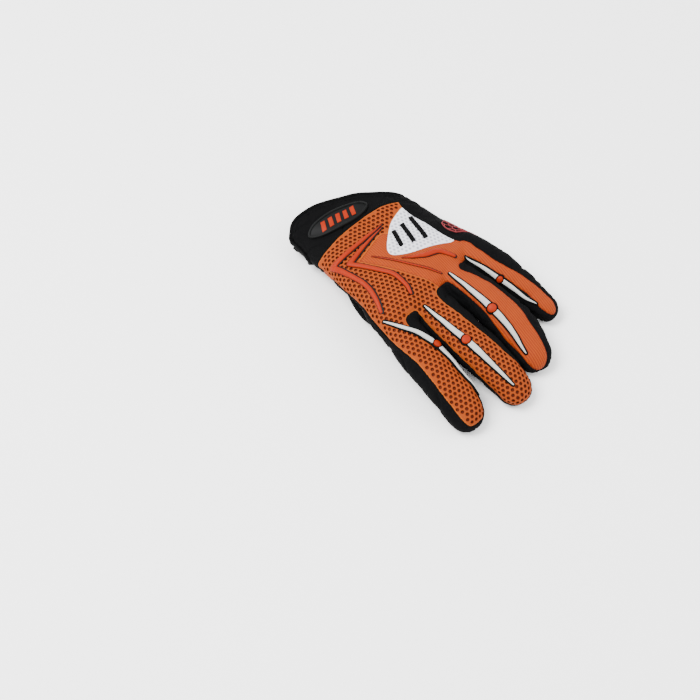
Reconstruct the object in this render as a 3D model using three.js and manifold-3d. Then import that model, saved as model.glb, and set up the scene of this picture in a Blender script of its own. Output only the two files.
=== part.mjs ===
// Motocross glove for the left hand, lying palm down with curled fingers and the thumb folded under the palm.
// Fingers point to -Y, the little finger is at +X, +Z is up, and the surface that it lies on is z = 0.
import * as THREE from 'three';
import { mergeVertices } from 'three/addons/utils/BufferGeometryUtils.js';
import Module from 'manifold-3d';

// Driving sizes, in millimetres
const gloveLength = 225;
const gloveHeight = 41;
const handDepth = 28;
const fingerWidth = 30;
const palmEase = 6;
const fingerDepth = 23;
const thumbWidth = 36;
const thumbDepth = 13;
const fabricWall = 2;
const seamGap = 0.3;
const ribWidth = 5;
const ribThickness = 1.6;
const guardBaseThickness = 0.8;
const guardBladeWidth = 5.6;
const guardBladeThickness = 1.3;
const guardBorder = 1.2;
const studDiameter = 6.6;
const studThickness = 1.9;
const badgeLength = 51;
const badgeWidth = 18;
const badgeThickness = 2;
const badgeRim = 1.8;
const strapThickness = 2;
const strapWidth = 25;
const tabLength = 78;
const tabWidth = 20;
const tabThickness = 2.4;
const tabRim = 2;
const fieldDepth = 0.8;
const barThickness = 0.5;
const gripThickness = 0.7;
const gripLine = 0.9;
const gripPitch = 6.4;
const patchBarThickness = 0.9;
const thumbPatchLength = 33;
const thumbPatchWidth = 29;

// Sizes that follow from them: four fingers lie side by side across the hand
const gloveWidth = 4 * fingerWidth + palmEase;
const cuffRise = 2 * seamGap + strapThickness + tabThickness;
const tipRise = seamGap + gripThickness;
const tipLength = fingerWidth / 2;
const restFlattening = 0.4;

// How finely round things are divided, and how rounded the sections are
const bodySides = 20;
const fingerSides = 12;
const hollowBodySides = 14;
const hollowFingerSides = 8;
const bodyRoundness = 2.5;
const fingerRoundness = 2.2;
const postSides = 8;
const tipAngles = [42, 74];
const farAway = 2 * gloveLength;

function table(columns, rows) {
  return rows.map((row) => Object.fromEntries(columns.map((name, i) => [name, row[i]])));
}

// Sections of wrist and hand from the cuff to the finger roots: places and half widths are shares of the
// glove's length and width, lifts of its height, half depths of the hand's depth, and roll is in degrees
const handTable = table(
  ['along', 'across', 'lift', 'halfWidth', 'halfDepth', 'roll', 'slant'],
  [
    [0.52, -0.016, 0, 0.341, 0.45, 0, 0],
    [0.427, -0.016, 0, 0.341, 0.45, 0, 0],
    [0.364, -0.008, 0, 0.349, 0.465, 0, 0],
    [0.302, 0, 0, 0.365, 0.5, 0, 0],
    [0.222, 0.02, 0.044, 0.393, 0.5, 6, 0],
    [0.133, 0.034, 0.129, 0.419, 0.482, 8, 0],
    [0.044, 0.05, 0.19, 0.442, 0.464, 9, 0.05],
    [-0.018, 0.06, 0.227, 0.456, 0.43, 9, 0.2],
    [-0.053, 0.048, 0.3, 0.413, 0.32, 9, 0.25],
    [-0.076, 0.044, 0.385, 0.345, 0.18, 9, 0.25],
  ],
);

// Sections of the fingers from root to tip: half widths and half depths are shares of a finger's width and
// depth, and the two seams of the back panel are angles from the top towards the little finger, in degrees
const fingerColumns = ['along', 'across', 'lift', 'halfWidth', 'halfDepth', 'roll', 'seamFrom', 'seamTo'];
const fingerTables = {
  index: table(fingerColumns, [
    [0.062, -0.27, 0.51, 0.367, 0.35, 8, -80, 0],
    [-0.009, -0.286, 0.4, 0.5, 0.5, 8, -80, 0],
    [-0.111, -0.302, 0.378, 0.483, 0.5, 8, -78, 0],
    [-0.222, -0.315, 0.317, 0.5, 0.478, 6, -48, 48],
    [-0.333, -0.305, 0.16, 0.51, 0.457, 3, -52, 62],
    [-0.418, -0.306, 0, 0.47, 0.435, 0, -48, 66],
  ]),
  middle: table(fingerColumns, [
    [0.062, -0.056, 0.44, 0.4, 0.35, 8, -60, -10],
    [-0.009, -0.055, 0.354, 0.533, 0.5, 8, -70, -10],
    [-0.124, -0.052, 0.354, 0.533, 0.5, 5, -74, 20],
    [-0.244, -0.035, 0.293, 0.55, 0.478, 4, -74, 40],
    [-0.356, -0.004, 0.16, 0.53, 0.457, 0, -80, 50],
    [-0.444, 0.014, 0, 0.46, 0.435, 0, -90, 72],
  ]),
  ring: table(fingerColumns, [
    [0.062, 0.155, 0.39, 0.4, 0.35, 8, -46, -26],
    [0, 0.168, 0.28, 0.5, 0.5, 8, -46, -26],
    [-0.111, 0.213, 0.28, 0.5, 0.5, 5, -54, 34],
    [-0.222, 0.256, 0.22, 0.53, 0.478, 4, -66, 46],
    [-0.32, 0.268, 0.11, 0.53, 0.457, 0, -74, 38],
    [-0.391, 0.249, 0, 0.467, 0.435, 0, -56, 42],
  ]),
  pinky: table(fingerColumns, [
    [0.071, 0.365, 0.29, 0.367, 0.35, 8, -56, -6],
    [0, 0.402, 0.22, 0.45, 0.478, 8, -56, -6],
    [-0.08, 0.447, 0.185, 0.417, 0.478, 5, -60, -12],
    [-0.16, 0.48, 0.125, 0.39, 0.435, 4, -48, 12],
    [-0.222, 0.502, 0.035, 0.38, 0.413, 0, -28, 32],
    [-0.267, 0.516, 0, 0.35, 0.391, 0, -42, 36],
  ]),
};

// Sections of the thumb, from inside the hand to its tip under the middle finger's root
const thumbTable = table(
  ['along', 'across', 'lift', 'halfWidth', 'halfDepth'],
  [
    [0.19, -0.18, 0.42, 0.4, 0.5],
    [0.124, -0.215, 0.24, 0.48, 0.5],
    [0.05, -0.205, 0.03, 0.5, 0.5],
    [-0.04, -0.13, 0, 0.44, 0.5],
    [-0.09, -0.07, 0, 0.36, 0.46],
  ],
);

// Seam and panel outlines in plan, as shares of the glove's width and length
const rimLine = [
  [0.556, 0.267], [0.357, 0.32], [0.27, 0.356], [0.135, 0.404], [0.008, 0.436], [-0.135, 0.462],
  [-0.302, 0.471], [-0.365, 0.431], [-0.6, 0.4],
];
const cuffSeamLine = [
  [-0.6, 0.267], [-0.357, 0.284], [-0.222, 0.302], [-0.071, 0.311], [0.071, 0.318], [0.206, 0.311],
  [0.286, 0.293], [0.6, 0.276],
];
const backOutline = [
  [-0.6, 0.36], [0.27, 0.36], [0.255, 0.272], [0.29, 0.187], [0.31, 0.116], [0.34, 0.062],
  [0.395, 0.035], [0.42, -0.01], [0.26, -0.026], [0.21, -0.03], [0.12, -0.058], [0.03, -0.062],
  [-0.1, -0.085], [-0.22, -0.088], [-0.3, -0.092], [-0.6, -0.115],
];
const whiteOutline = [
  [0.255, 0.272], [0.18, 0.256], [0.12, 0.24], [0.055, 0.207], [-0.008, 0.172], [-0.042, 0.148],
  [-0.045, 0.126], [-0.012, 0.112], [0.059, 0.096], [0.158, 0.083], [0.254, 0.071], [0.345, 0.052],
  [0.4, 0.1], [0.4, 0.25],
];
const knitOutline = [
  [0.08, 0.16], [0.045, 0.222], [-0.03, 0.212], [-0.12, 0.192], [-0.22, 0.172], [-0.167, 0.133],
  [-0.1, 0.07], [-0.04, 0.018], [0, -0.02], [0.04, -0.06], [0.086, -0.111], [0.117, -0.222],
  [0.131, -0.32], [0.133, -0.444], [0.133, -0.578], [0.8, -0.578], [0.8, 0.133], [0.341, 0.06],
  [0.151, 0.1],
];
const gussetOutline = [
  [-0.6, 0.24], [-0.286, 0.262], [-0.111, 0.28], [-0.095, 0.231], [-0.19, 0.21], [-0.6, 0.19],
];
const gripOutline = [
  [0.127, 0.16], [0.238, 0.204], [0.397, 0.222], [0.452, 0.16], [0.492, 0.062], [0.5, 0.004],
  [0.429, -0.009], [0.365, 0.044], [0.317, 0.053], [0.302, 0], [0.27, -0.036], [0.19, -0.04],
  [0.159, -0.018],
];

// Moulded ribs on the back of the hand: stations of a centre line, with the width there as a share of ribWidth
const ribColumns = ['across', 'along', 'width'];
const ribTables = {
  flame_rib_outer: table(ribColumns, [
    [0.07, 0.252, 0.16], [-0.1, 0.235, 0.68], [-0.345, 0.217, 1], [-0.325, 0.155, 0.88],
    [-0.303, 0.08, 0.82], [-0.318, 0.02, 0.76], [-0.349, -0.031, 0.5],
  ]),
  flame_rib_inner: table(ribColumns, [
    [0.055, 0.241, 0.16], [-0.13, 0.21, 0.64], [-0.274, 0.182, 0.92], [-0.18, 0.104, 0.86],
    [-0.13, 0.05, 0.84], [-0.125, 0, 0.76], [-0.142, -0.038, 0.5],
  ]),
  flame_rib_side: table(ribColumns, [
    [-0.01, 0.092, 0.16], [0.1, 0.058, 0.84], [0.195, 0.045, 1], [0.249, 0.003, 0.6],
  ]),
  flame_line: table(ribColumns, [
    [-0.139, 0.158, 0.16], [-0.034, 0.077, 0.34], [0.045, 0.016, 0.34], [0.1, -0.028, 0.24],
  ]),
};

// Finger guards: stations along the finger from root to tip, and angles from the top towards the little finger
const guardTable = table(
  ['finger', 'start', 'startAngle', 'stud', 'studAngle', 'end', 'endAngle'],
  [
    ['index', 0.31, -44, 0.58, 46, 0.96, 68],
    ['middle', 0.35, -34, 0.62, -21, 1, -14],
    ['ring', 0.28, -23, 0.58, -31, 1, -29],
    ['pinky', 0.19, -58, 0.51, -56, 0.98, -32],
  ],
);

const colours = {
  suede: [0x141414, 0.9, 0],
  neoprene: [0x1a1a1b, 0.85, 0],
  mesh: [0xd9661f, 0.85, 0],
  knit: [0xf47a16, 0.8, 0],
  white: [0xe4e3e8, 0.85, 0],
  rubber: [0xe2552e, 0.5, 0],
  darkRubber: [0x2b2d2d, 0.55, 0],
  silver: [0xe6e6e4, 0.35, 0.2],
  print: [0xe0707a, 0.6, 0],
};

const wasm = await Module();
wasm.setup();

function toSolid(geometry) {
  geometry.deleteAttribute('normal');
  geometry.deleteAttribute('uv');
  const merged = mergeVertices(geometry, 1e-4);
  return new wasm.Manifold(new wasm.Mesh({
    numProp: 3,
    vertProperties: new Float32Array(merged.attributes.position.array),
    triVerts: new Uint32Array(merged.index.array),
  }));
}

function toGeometry(solid) {
  const { vertProperties, triVerts } = solid.getMesh();
  const geometry = new THREE.BufferGeometry();
  geometry.setAttribute('position', new THREE.BufferAttribute(vertProperties, 3));
  geometry.setIndex(new THREE.BufferAttribute(triVerts, 1));
  return geometry;
}

// The one body of a piece, without crumbs that its cuts leave
function mainBody(solid) {
  return solid.decompose().reduce((best, part) => (part.volume() > best.volume() ? part : best));
}

function join(solids) {
  return solids.reduce((whole, solid) => whole.add(solid));
}

// A closed skin through rings of equally many points, with a fan of triangles over each end
function loft(rings) {
  const count = rings[0].length;
  const points = [...rings.flat(), middle(rings[0]), middle(rings.at(-1))];
  const faces = [];
  rings.slice(1).forEach((_, row) => {
    for (let i = 0; i < count; i += 1) {
      const j = (i + 1) % count;
      const [a, b, c, d] = [row * count + i, row * count + j, (row + 1) * count + j, (row + 1) * count + i];
      faces.push(a, b, c, a, c, d);
    }
  });
  const last = (rings.length - 1) * count;
  for (let i = 0; i < count; i += 1) {
    const j = (i + 1) % count;
    faces.push(points.length - 2, j, i, points.length - 1, last + i, last + j);
  }
  const geometry = new THREE.BufferGeometry().setFromPoints(points);
  geometry.setIndex(faces);
  return toSolid(geometry);
}

function middle(ring) {
  return ring.reduce((sum, point) => sum.add(point), new THREE.Vector3()).divideScalar(ring.length);
}

function prism(points, low = -farAway, high = farAway) {
  const shape = new THREE.Shape(points);
  const geometry = new THREE.ExtrudeGeometry(shape, { depth: high - low, bevelEnabled: false });
  return toSolid(geometry.translate(0, 0, low));
}

function plan(shares) {
  return shares.map(([across, along]) => new THREE.Vector2(across * gloveWidth, along * gloveLength));
}

// An outline moved outwards by a distance, or inwards where the distance is negative
function grow(points, distance) {
  const outwards = THREE.ShapeUtils.isClockWise(points) ? 1 : -1;
  return points.map((point, i) => {
    const before = points.at(i - 1);
    const after = points[(i + 1) % points.length];
    const arriving = point.clone().sub(before).normalize();
    const leaving = after.clone().sub(point).normalize();
    const along = arriving.clone().add(leaving).normalize();
    const stretch = 1 / Math.max(0.5, along.dot(arriving));
    const normal = new THREE.Vector2(-along.y, along.x).multiplyScalar(outwards * distance * stretch);
    return point.clone().add(normal);
  });
}

function roundPower(value, roundness) {
  return Math.sign(value) * Math.abs(value) ** (2 / roundness);
}

// A place in a section's plane
function placed(section, u, v) {
  return section.centre.clone().addScaledVector(section.side, u).addScaledVector(section.up, v);
}

function skinRing(section, outwards, sides, roundness, lowest = -Infinity) {
  return Array.from({ length: sides }, (_, i) => {
    const turn = (2 * Math.PI * i) / sides;
    const u = (section.halfWidth + outwards) * roundPower(Math.cos(turn), roundness);
    const v = (section.halfDepth + outwards) * roundPower(Math.sin(turn), roundness);
    return placed(section, u, Math.max(v, lowest));
  });
}

function handSections() {
  return handTable.map(({ along, across, lift, halfWidth, halfDepth, roll, slant }) => {
    const depth = halfDepth * handDepth;
    const tilt = THREE.MathUtils.degToRad(roll);
    const height = cuffRise + lift * gloveHeight + depth;
    return {
      centre: new THREE.Vector3(across * gloveWidth, along * gloveLength, height),
      side: new THREE.Vector3(Math.cos(tilt), slant, -Math.sin(tilt)),
      up: new THREE.Vector3(Math.sin(tilt), 0, Math.cos(tilt)),
      halfWidth: halfWidth * gloveWidth,
      halfDepth: depth,
    };
  });
}

// Sections square to a path, each with its own half width and half depth
function pathSections(rows) {
  return rows.map((row, i) => {
    const before = rows[Math.max(i - 1, 0)].centre;
    const after = rows[Math.min(i + 1, rows.length - 1)].centre;
    const forward = after.clone().sub(before).normalize();
    const side = new THREE.Vector3(0, 0, 1).cross(forward).normalize();
    const up = forward.clone().cross(side);
    const tilt = THREE.MathUtils.degToRad(row.roll);
    side.applyAxisAngle(forward, -tilt);
    up.applyAxisAngle(forward, -tilt);
    return { ...row, forward, side, up };
  });
}

function fingerSections(rows, width, depth, rise) {
  return pathSections(rows.map((row) => ({
    ...row,
    roll: row.roll ?? 0,
    halfWidth: row.halfWidth * width,
    halfDepth: row.halfDepth * depth,
    centre: new THREE.Vector3(
      row.across * gloveWidth,
      row.along * gloveLength,
      rise + row.lift * gloveHeight + row.halfDepth * depth,
    ),
  })));
}

// A round tip: sections that shrink while they move on
function tipSections(section, length, outwards) {
  return tipAngles.map((angle) => {
    const turn = THREE.MathUtils.degToRad(angle);
    const reach = (length + outwards) * Math.sin(turn);
    return {
      ...section,
      centre: section.centre.clone().addScaledVector(section.forward, reach),
      halfWidth: (section.halfWidth + outwards) * Math.cos(turn) - outwards,
      halfDepth: (section.halfDepth + outwards) * Math.cos(turn) - outwards,
    };
  });
}

const hand = handSections();
const fingers = Object.fromEntries(Object.entries(fingerTables).map(
  ([name, rows]) => [name, fingerSections(rows, fingerWidth, fingerDepth, tipRise)],
));
const thumb = fingerSections(thumbTable, thumbWidth, thumbDepth, seamGap);
const thumbTipLength = thumbWidth / 3;

function handSkin(outwards, sides = bodySides) {
  const rings = hand.map((section) => skinRing(section, outwards, sides, bodyRoundness));
  rings.at(-1).forEach((point) => point.setY(point.y - outwards));
  return loft(rings);
}

function digitSkin(sections, length, outwards, sides = fingerSides) {
  const all = [...sections, ...tipSections(sections.at(-1), length, outwards)];
  return loft(all.map((section) => skinRing(section, outwards, sides, fingerRoundness)));
}

const skins = new Map();
function outerSkin(outwards) {
  if (!skins.has(outwards)) {
    const digits = Object.values(fingers).map((sections) => digitSkin(sections, tipLength, outwards));
    skins.set(outwards, join([handSkin(outwards), ...digits]));
  }
  return skins.get(outwards);
}

// What lies between two distances from the skin
function layer(from, to) {
  return outerSkin(to).subtract(outerSkin(from));
}

// The upper part of the hand and the back sectors of the fingers, where the orange panels are
function backZone(extra) {
  const reach = handDepth / 3;
  const upper = loft(hand.map((section) => skinRing(section, reach, bodySides, bodyRoundness, -extra)));
  const handBack = upper.intersect(prism(grow(plan(backOutline), extra)));
  const sectors = Object.values(fingers).map((sections) => {
    const tip = sections.at(-1);
    const beyond = { ...tip, centre: tip.centre.clone().addScaledVector(tip.forward, 2 * tipLength) };
    return loft([...sections.slice(1), beyond].map((section) => sectorRing(section, extra)));
  });
  return join([handBack, ...sectors]);
}

function sectorRing(section, extra) {
  const steps = 8;
  const radius = 1.7 * section.halfWidth;
  const widen = extra / section.halfDepth;
  const from = THREE.MathUtils.degToRad(section.seamFrom) - widen;
  const to = THREE.MathUtils.degToRad(section.seamTo) + widen;
  const arc = Array.from({ length: steps + 1 }, (_, i) => {
    const turn = to + ((from - to) * i) / steps;
    return placed(section, radius * Math.sin(turn), radius * Math.cos(turn));
  });
  return [...arc, placed(section, 0, -extra)];
}

// The fabric shell and the panels that are sewn into it
function shellPieces() {
  const hollow = join([
    handSkin(-fabricWall, hollowBodySides),
    ...Object.values(fingers).map((sections) => (
      digitSkin(sections, tipLength, -fabricWall, hollowFingerSides))),
    digitSkin(thumb, thumbTipLength, -fabricWall, hollowFingerSides),
  ]);
  const farBack = [[-0.6, -0.8], [0.8, -0.8]];
  const inFrontOfRim = prism(plan([...farBack, ...rimLine]));
  const inFrontOfCuff = plan([...farBack, ...[...cuffSeamLine].reverse()]);
  const shell = outerSkin(0).subtract(hollow).intersect(inFrontOfRim);
  const cuff = shell.subtract(prism(inFrontOfCuff));
  const gloved = shell.intersect(prism(grow(inFrontOfCuff, -seamGap)));
  const back = gloved.intersect(backZone(0));
  const palmSide = gloved.subtract(join([backZone(0), backZone(seamGap)]));
  const white = plan(whiteOutline);
  const knit = plan(knitOutline);
  const gusset = plan(gussetOutline);
  const thumbShell = digitSkin(thumb, thumbTipLength, 0).subtract(outerSkin(seamGap)).subtract(hollow);
  const patch = thumbPatchOutline();
  const thumbHeight = thumb[2].centre.z;
  return {
    palm_shell: [palmSide.subtract(prism(grow(gusset, seamGap))), 'suede'],
    thumb_gusset: [palmSide.intersect(prism(gusset)), 'knit'],
    thumb: [thumbShell.subtract(prism(grow(patch, seamGap), -farAway, thumbHeight)), 'suede'],
    thumb_patch: [thumbShell.intersect(prism(patch, -farAway, thumbHeight)), 'knit'],
    back_mesh: [
      back.subtract(prism(grow(white, seamGap))).subtract(prism(grow(knit, seamGap))),
      'mesh',
    ],
    back_knit: [back.intersect(prism(knit)).subtract(prism(grow(white, seamGap))), 'knit'],
    white_patch: [back.intersect(prism(white)), 'white'],
    cuff: [cuff, 'neoprene'],
  };
}

function oval(centre, length, width, angle, count = 24) {
  return Array.from({ length: count }, (_, i) => {
    const turn = (2 * Math.PI * i) / count;
    const point = new THREE.Vector2((length / 2) * Math.cos(turn), (width / 2) * Math.sin(turn));
    return point.rotateAround(new THREE.Vector2(), angle).add(centre);
  });
}

function thumbPatchOutline() {
  const { centre, forward } = thumb[2];
  const place = new THREE.Vector2(centre.x, centre.y).addScaledVector(forward, thumbPatchLength / 5);
  return oval(place, thumbPatchLength, thumbPatchWidth, Math.atan2(forward.y, forward.x));
}

// The outline of a rib: its centre line widened to both sides
function ribOutline(rows) {
  const centres = plan(rows.map(({ across, along }) => [across, along]));
  const normals = centres.map((point, i) => {
    const before = centres[Math.max(i - 1, 0)];
    const after = centres[Math.min(i + 1, centres.length - 1)];
    const arriving = point.clone().sub(before).normalize();
    const leaving = after.clone().sub(point).normalize();
    const along = arriving.add(leaving).normalize();
    return new THREE.Vector2(-along.y, along.x);
  });
  const side = (direction) => centres.map((point, i) => (
    point.clone().addScaledVector(normals[i], (direction * rows[i].width * ribWidth) / 2)));
  return [...side(1), ...side(-1).reverse()];
}

function ribPieces() {
  const raised = layer(seamGap, seamGap + ribThickness).intersect(backZone(0));
  return Object.fromEntries(Object.entries(ribTables).map(([name, rows]) => (
    [name, [raised.intersect(prism(ribOutline(rows))), 'rubber']])));
}

// A place on a finger's skin, from a station between root (0) and tip (1) and an angle from the top
function skinFrame(sections, station, degrees) {
  const place = station * (sections.length - 1);
  const i = Math.min(Math.floor(place), sections.length - 2);
  const t = place - i;
  const [before, after] = [sections[i], sections[i + 1]];
  const blend = (name) => before[name].clone().lerp(after[name], t);
  const halfWidth = THREE.MathUtils.lerp(before.halfWidth, after.halfWidth, t);
  const halfDepth = THREE.MathUtils.lerp(before.halfDepth, after.halfDepth, t);
  const turn = THREE.MathUtils.degToRad(degrees);
  const u = halfWidth * roundPower(Math.sin(turn), fingerRoundness);
  const v = halfDepth * roundPower(Math.cos(turn), fingerRoundness);
  const section = { centre: blend('centre'), side: blend('side').normalize(), up: blend('up').normalize() };
  const normal = section.side.clone().multiplyScalar(Math.sin(turn) * halfDepth)
    .addScaledVector(section.up, Math.cos(turn) * halfWidth).normalize();
  return { point: placed(section, u, v), normal };
}

// A strip that follows the skin, with its half width at each station and a profile of heights across it
function strip(frames, halfWidths, profile) {
  const rings = frames.map(({ point, normal }, i) => {
    const before = frames[Math.max(i - 1, 0)].point;
    const after = frames[Math.min(i + 1, frames.length - 1)].point;
    const across = normal.clone().cross(after.clone().sub(before)).normalize();
    return profile.map(([share, height]) => point.clone()
      .addScaledVector(across, share * halfWidths[i])
      .addScaledVector(normal, height));
  });
  return loft(rings);
}

// One finger guard: a black base, a tapered blade on each side of the stud, and the stud
function guardPieces({ finger, start, startAngle, stud, studAngle, end, endAngle }) {
  const steps = 3;
  const sunk = fabricWall + seamGap;
  const baseTop = seamGap + guardBaseThickness;
  const bladeSeat = baseTop + seamGap;
  const sections = fingers[finger];
  const studRadius = studDiameter / 2;
  const run = (from, fromAngle, to, toAngle) => Array.from({ length: steps + 1 }, (_, i) => (
    skinFrame(
      sections,
      THREE.MathUtils.lerp(from, to, i / steps),
      THREE.MathUtils.lerp(fromAngle, toAngle, i / steps),
    )));
  const rear = run(start, startAngle, stud, studAngle);
  const front = run(stud, studAngle, end, endAngle);
  const tapers = rear.map((_, i) => guardBladeWidth * (0.06 + 0.44 * Math.sqrt(i / steps)));
  const block = [[-1, -sunk], [1, -sunk], [1, studThickness * 2], [-1, studThickness * 2]];
  const crowned = [
    [-1, -sunk], [1, -sunk], [1, bladeSeat + guardBladeThickness * 0.5],
    [0, bladeSeat + guardBladeThickness], [-1, bladeSeat + guardBladeThickness * 0.5],
  ];
  const widen = (halfWidths) => halfWidths.map((half) => half + guardBorder);
  const studFrame = rear.at(-1);
  const baseRing = studPost(studFrame, studRadius + guardBorder, -sunk, studThickness * 2);
  const clearance = studPost(studFrame, studRadius + seamGap, -sunk, studThickness * 3);
  const baseOutline = join([
    strip(rear, widen(tapers), block),
    strip(front, widen([...tapers].reverse()), block),
    baseRing,
  ]);
  const blade = (frames, halfWidths) => (
    strip(frames, halfWidths, crowned).subtract(outerSkin(bladeSeat)).subtract(clearance));
  return {
    [`${finger}_guard_base`]: [baseOutline.intersect(layer(seamGap, baseTop)), 'suede'],
    [`${finger}_blade_rear`]: [blade(rear, tapers), 'silver'],
    [`${finger}_blade_front`]: [blade(front, [...tapers].reverse()), 'silver'],
    [`${finger}_stud`]: [
      studPost(studFrame, studRadius, -sunk, bladeSeat + studThickness).subtract(outerSkin(bladeSeat)),
      'rubber',
    ],
  };
}

// A round post square to the skin, with a chamfered top
function studPost({ point, normal }, radius, low, high) {
  const chamfer = Math.min(radius, high - low) / 6;
  const profile = [[0, low], [radius, low], [radius, high - chamfer], [radius - chamfer, high], [0, high]];
  const geometry = new THREE.LatheGeometry(profile.map(([x, y]) => new THREE.Vector2(x, y)), postSides);
  geometry.applyQuaternion(new THREE.Quaternion().setFromUnitVectors(new THREE.Vector3(0, 1, 0), normal));
  return toSolid(geometry.translate(point.x, point.y, point.z));
}

// A plain slanted bar in plan
function barOutline(centre, length, width, angle, lean) {
  const [half, wide] = [length / 2, width / 2];
  return [[-wide - lean, -half], [wide - lean, -half], [wide + lean, half], [-wide + lean, half]].map(
    ([x, y]) => new THREE.Vector2(x, y).rotateAround(new THREE.Vector2(), angle).add(centre),
  );
}

// The oval badge on the cuff's back: a plate with a raised rim and plain slanted bars in its field
function badgePieces() {
  const bars = 5;
  const [centre] = plan([[-0.095, 0.365]]);
  const angle = THREE.MathUtils.degToRad(-7);
  const top = seamGap + badgeThickness;
  const high = handDepth / 2 + cuffRise;
  const outline = oval(centre, badgeLength, badgeWidth, angle);
  const field = oval(centre, badgeLength - 2 * badgeRim, badgeWidth - 2 * badgeRim, angle);
  const pocket = layer(top - fieldDepth, top + badgeThickness).intersect(prism(field, high));
  const pieces = {
    cuff_badge: [layer(seamGap, top).intersect(prism(outline, high)).subtract(pocket), 'darkRubber'],
  };
  const barLayer = layer(top - fieldDepth + seamGap, top - fieldDepth + seamGap + barThickness);
  const barPitch = (badgeLength * 0.62) / bars;
  for (let i = 0; i < bars; i += 1) {
    const place = new THREE.Vector2((i - (bars - 1) / 2) * barPitch, 0)
      .rotateAround(new THREE.Vector2(), angle).add(centre);
    const bar = barOutline(place, badgeWidth * 0.45, barPitch * 0.55, angle, barPitch * 0.2);
    pieces[`badge_bar_${i + 1}`] = [barLayer.intersect(prism(bar, high)), 'rubber'];
  }
  return pieces;
}

// The wrist strap under the cuff, with its pointed rubber tab and plain bars on it
function strapPieces() {
  const bars = 4;
  const strapTop = seamGap + strapThickness;
  const tabSeat = strapTop + seamGap;
  const tabTop = tabSeat + tabThickness;
  const middleHeight = cuffRise + handDepth / 2;
  const axis = { start: plan([[-0.36, 0.385]])[0], angle: THREE.MathUtils.degToRad(-14) };
  const onAxis = (x, y) => new THREE.Vector2(x, y).rotateAround(new THREE.Vector2(), axis.angle).add(axis.start);
  const half = strapWidth / 2;
  const strap = [
    [-gloveWidth / 5, -half], [tabLength * 0.92, -half], [tabLength * 0.92, half], [-gloveWidth / 5, half],
  ].map(([x, y]) => onAxis(x, y));
  const pointed = (inset) => {
    const wide = tabWidth / 2 - inset;
    const point = tabWidth * 0.7;
    return [
      [inset, -wide], [tabLength - point - inset, -wide], [tabLength - inset * 1.6, 0],
      [tabLength - point - inset, wide], [inset, wide],
    ].map(([x, y]) => onAxis(x, y));
  };
  const inReach = prism(grow(plan(rimKeepOutline()), -seamGap));
  const pocket = layer(tabTop - fieldDepth, tabTop + tabThickness).intersect(prism(pointed(tabRim), -farAway, cuffRise));
  const tab = layer(tabSeat, tabTop + restFlattening).intersect(prism(pointed(0), 0, cuffRise));
  const pieces = {
    wrist_strap: [
      layer(seamGap, strapTop).intersect(prism(strap, -farAway, middleHeight)).intersect(inReach),
      'neoprene',
    ],
    strap_tab: [tab.subtract(pocket), 'darkRubber'],
  };
  const field = tabTop - fieldDepth;
  const barLayer = layer(field + seamGap / 2, field + seamGap / 2 + barThickness);
  const barPitch = (tabLength * 0.55) / bars;
  for (let i = 0; i < bars; i += 1) {
    const bar = barOutline(
      onAxis(tabLength * 0.14 + (i + 0.5) * barPitch, 0), tabWidth * 0.45, barPitch * 0.55,
      axis.angle, barPitch * 0.2,
    );
    pieces[`tab_bar_${i + 1}`] = [barLayer.intersect(prism(bar, 0, cuffRise)), i === 0 ? 'silver' : 'rubber'];
  }
  return pieces;
}

function rimKeepOutline() {
  return [[-0.6, -0.8], [0.8, -0.8], ...rimLine];
}

// Plain dark bars on the white inset
function patchBarPieces() {
  const bars = 3;
  const raised = layer(seamGap, seamGap + patchBarThickness).intersect(backZone(0));
  const [start, end] = plan([[0.07, 0.17], [0.23, 0.17]]);
  const pieces = {};
  for (let i = 0; i < bars; i += 1) {
    const place = start.clone().lerp(end, i / (bars - 1));
    const length = gloveLength * (0.07 + 0.02 * i);
    const bar = barOutline(place, length, gloveWidth * 0.03, 0, gloveWidth * 0.02);
    pieces[`patch_bar_${i + 1}`] = [raised.intersect(prism(bar)), 'suede'];
  }
  return pieces;
}

// The honeycomb print on the palm: a border line and a net of six-sided gaps
function gripPiece() {
  const outline = plan(gripOutline);
  const inner = grow(outline, -1.5 * gripLine);
  const net = new THREE.Shape(outline);
  const radius = (gripPitch - gripLine) / Math.sqrt(3);
  const box = new THREE.Box2().setFromPoints(outline);
  const rowStep = (gripPitch * Math.sqrt(3)) / 2;
  const rows = Math.ceil((box.max.y - box.min.y) / rowStep);
  const columns = Math.ceil((box.max.x - box.min.x) / gripPitch);
  for (let row = 0; row < rows; row += 1) {
    for (let column = 0; column < columns; column += 1) {
      const centre = new THREE.Vector2(
        box.min.x + (column + (row % 2) / 2 + 0.5) * gripPitch,
        box.min.y + (row + 0.5) * rowStep,
      );
      const gap = Array.from({ length: 6 }, (_, i) => {
        const turn = (Math.PI / 3) * i + Math.PI / 6;
        return new THREE.Vector2(Math.cos(turn), Math.sin(turn)).multiplyScalar(radius).add(centre);
      });
      if (gap.every((point) => isInside(point, inner))) net.holes.push(new THREE.Path(gap));
    }
  }
  const geometry = new THREE.ExtrudeGeometry(net, { depth: gloveHeight / 2, bevelEnabled: false });
  const underside = toSolid(geometry.translate(0, 0, -gloveHeight / 8));
  return { palm_grip: [layer(seamGap, seamGap + gripThickness).intersect(underside), 'print'] };
}

function isInside(point, outline) {
  let inside = false;
  outline.forEach((a, i) => {
    const b = outline.at(i - 1);
    const crosses = (a.y > point.y) !== (b.y > point.y);
    if (crosses && point.x < ((b.x - a.x) * (point.y - a.y)) / (b.y - a.y) + a.x) inside = !inside;
  });
  return inside;
}

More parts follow.
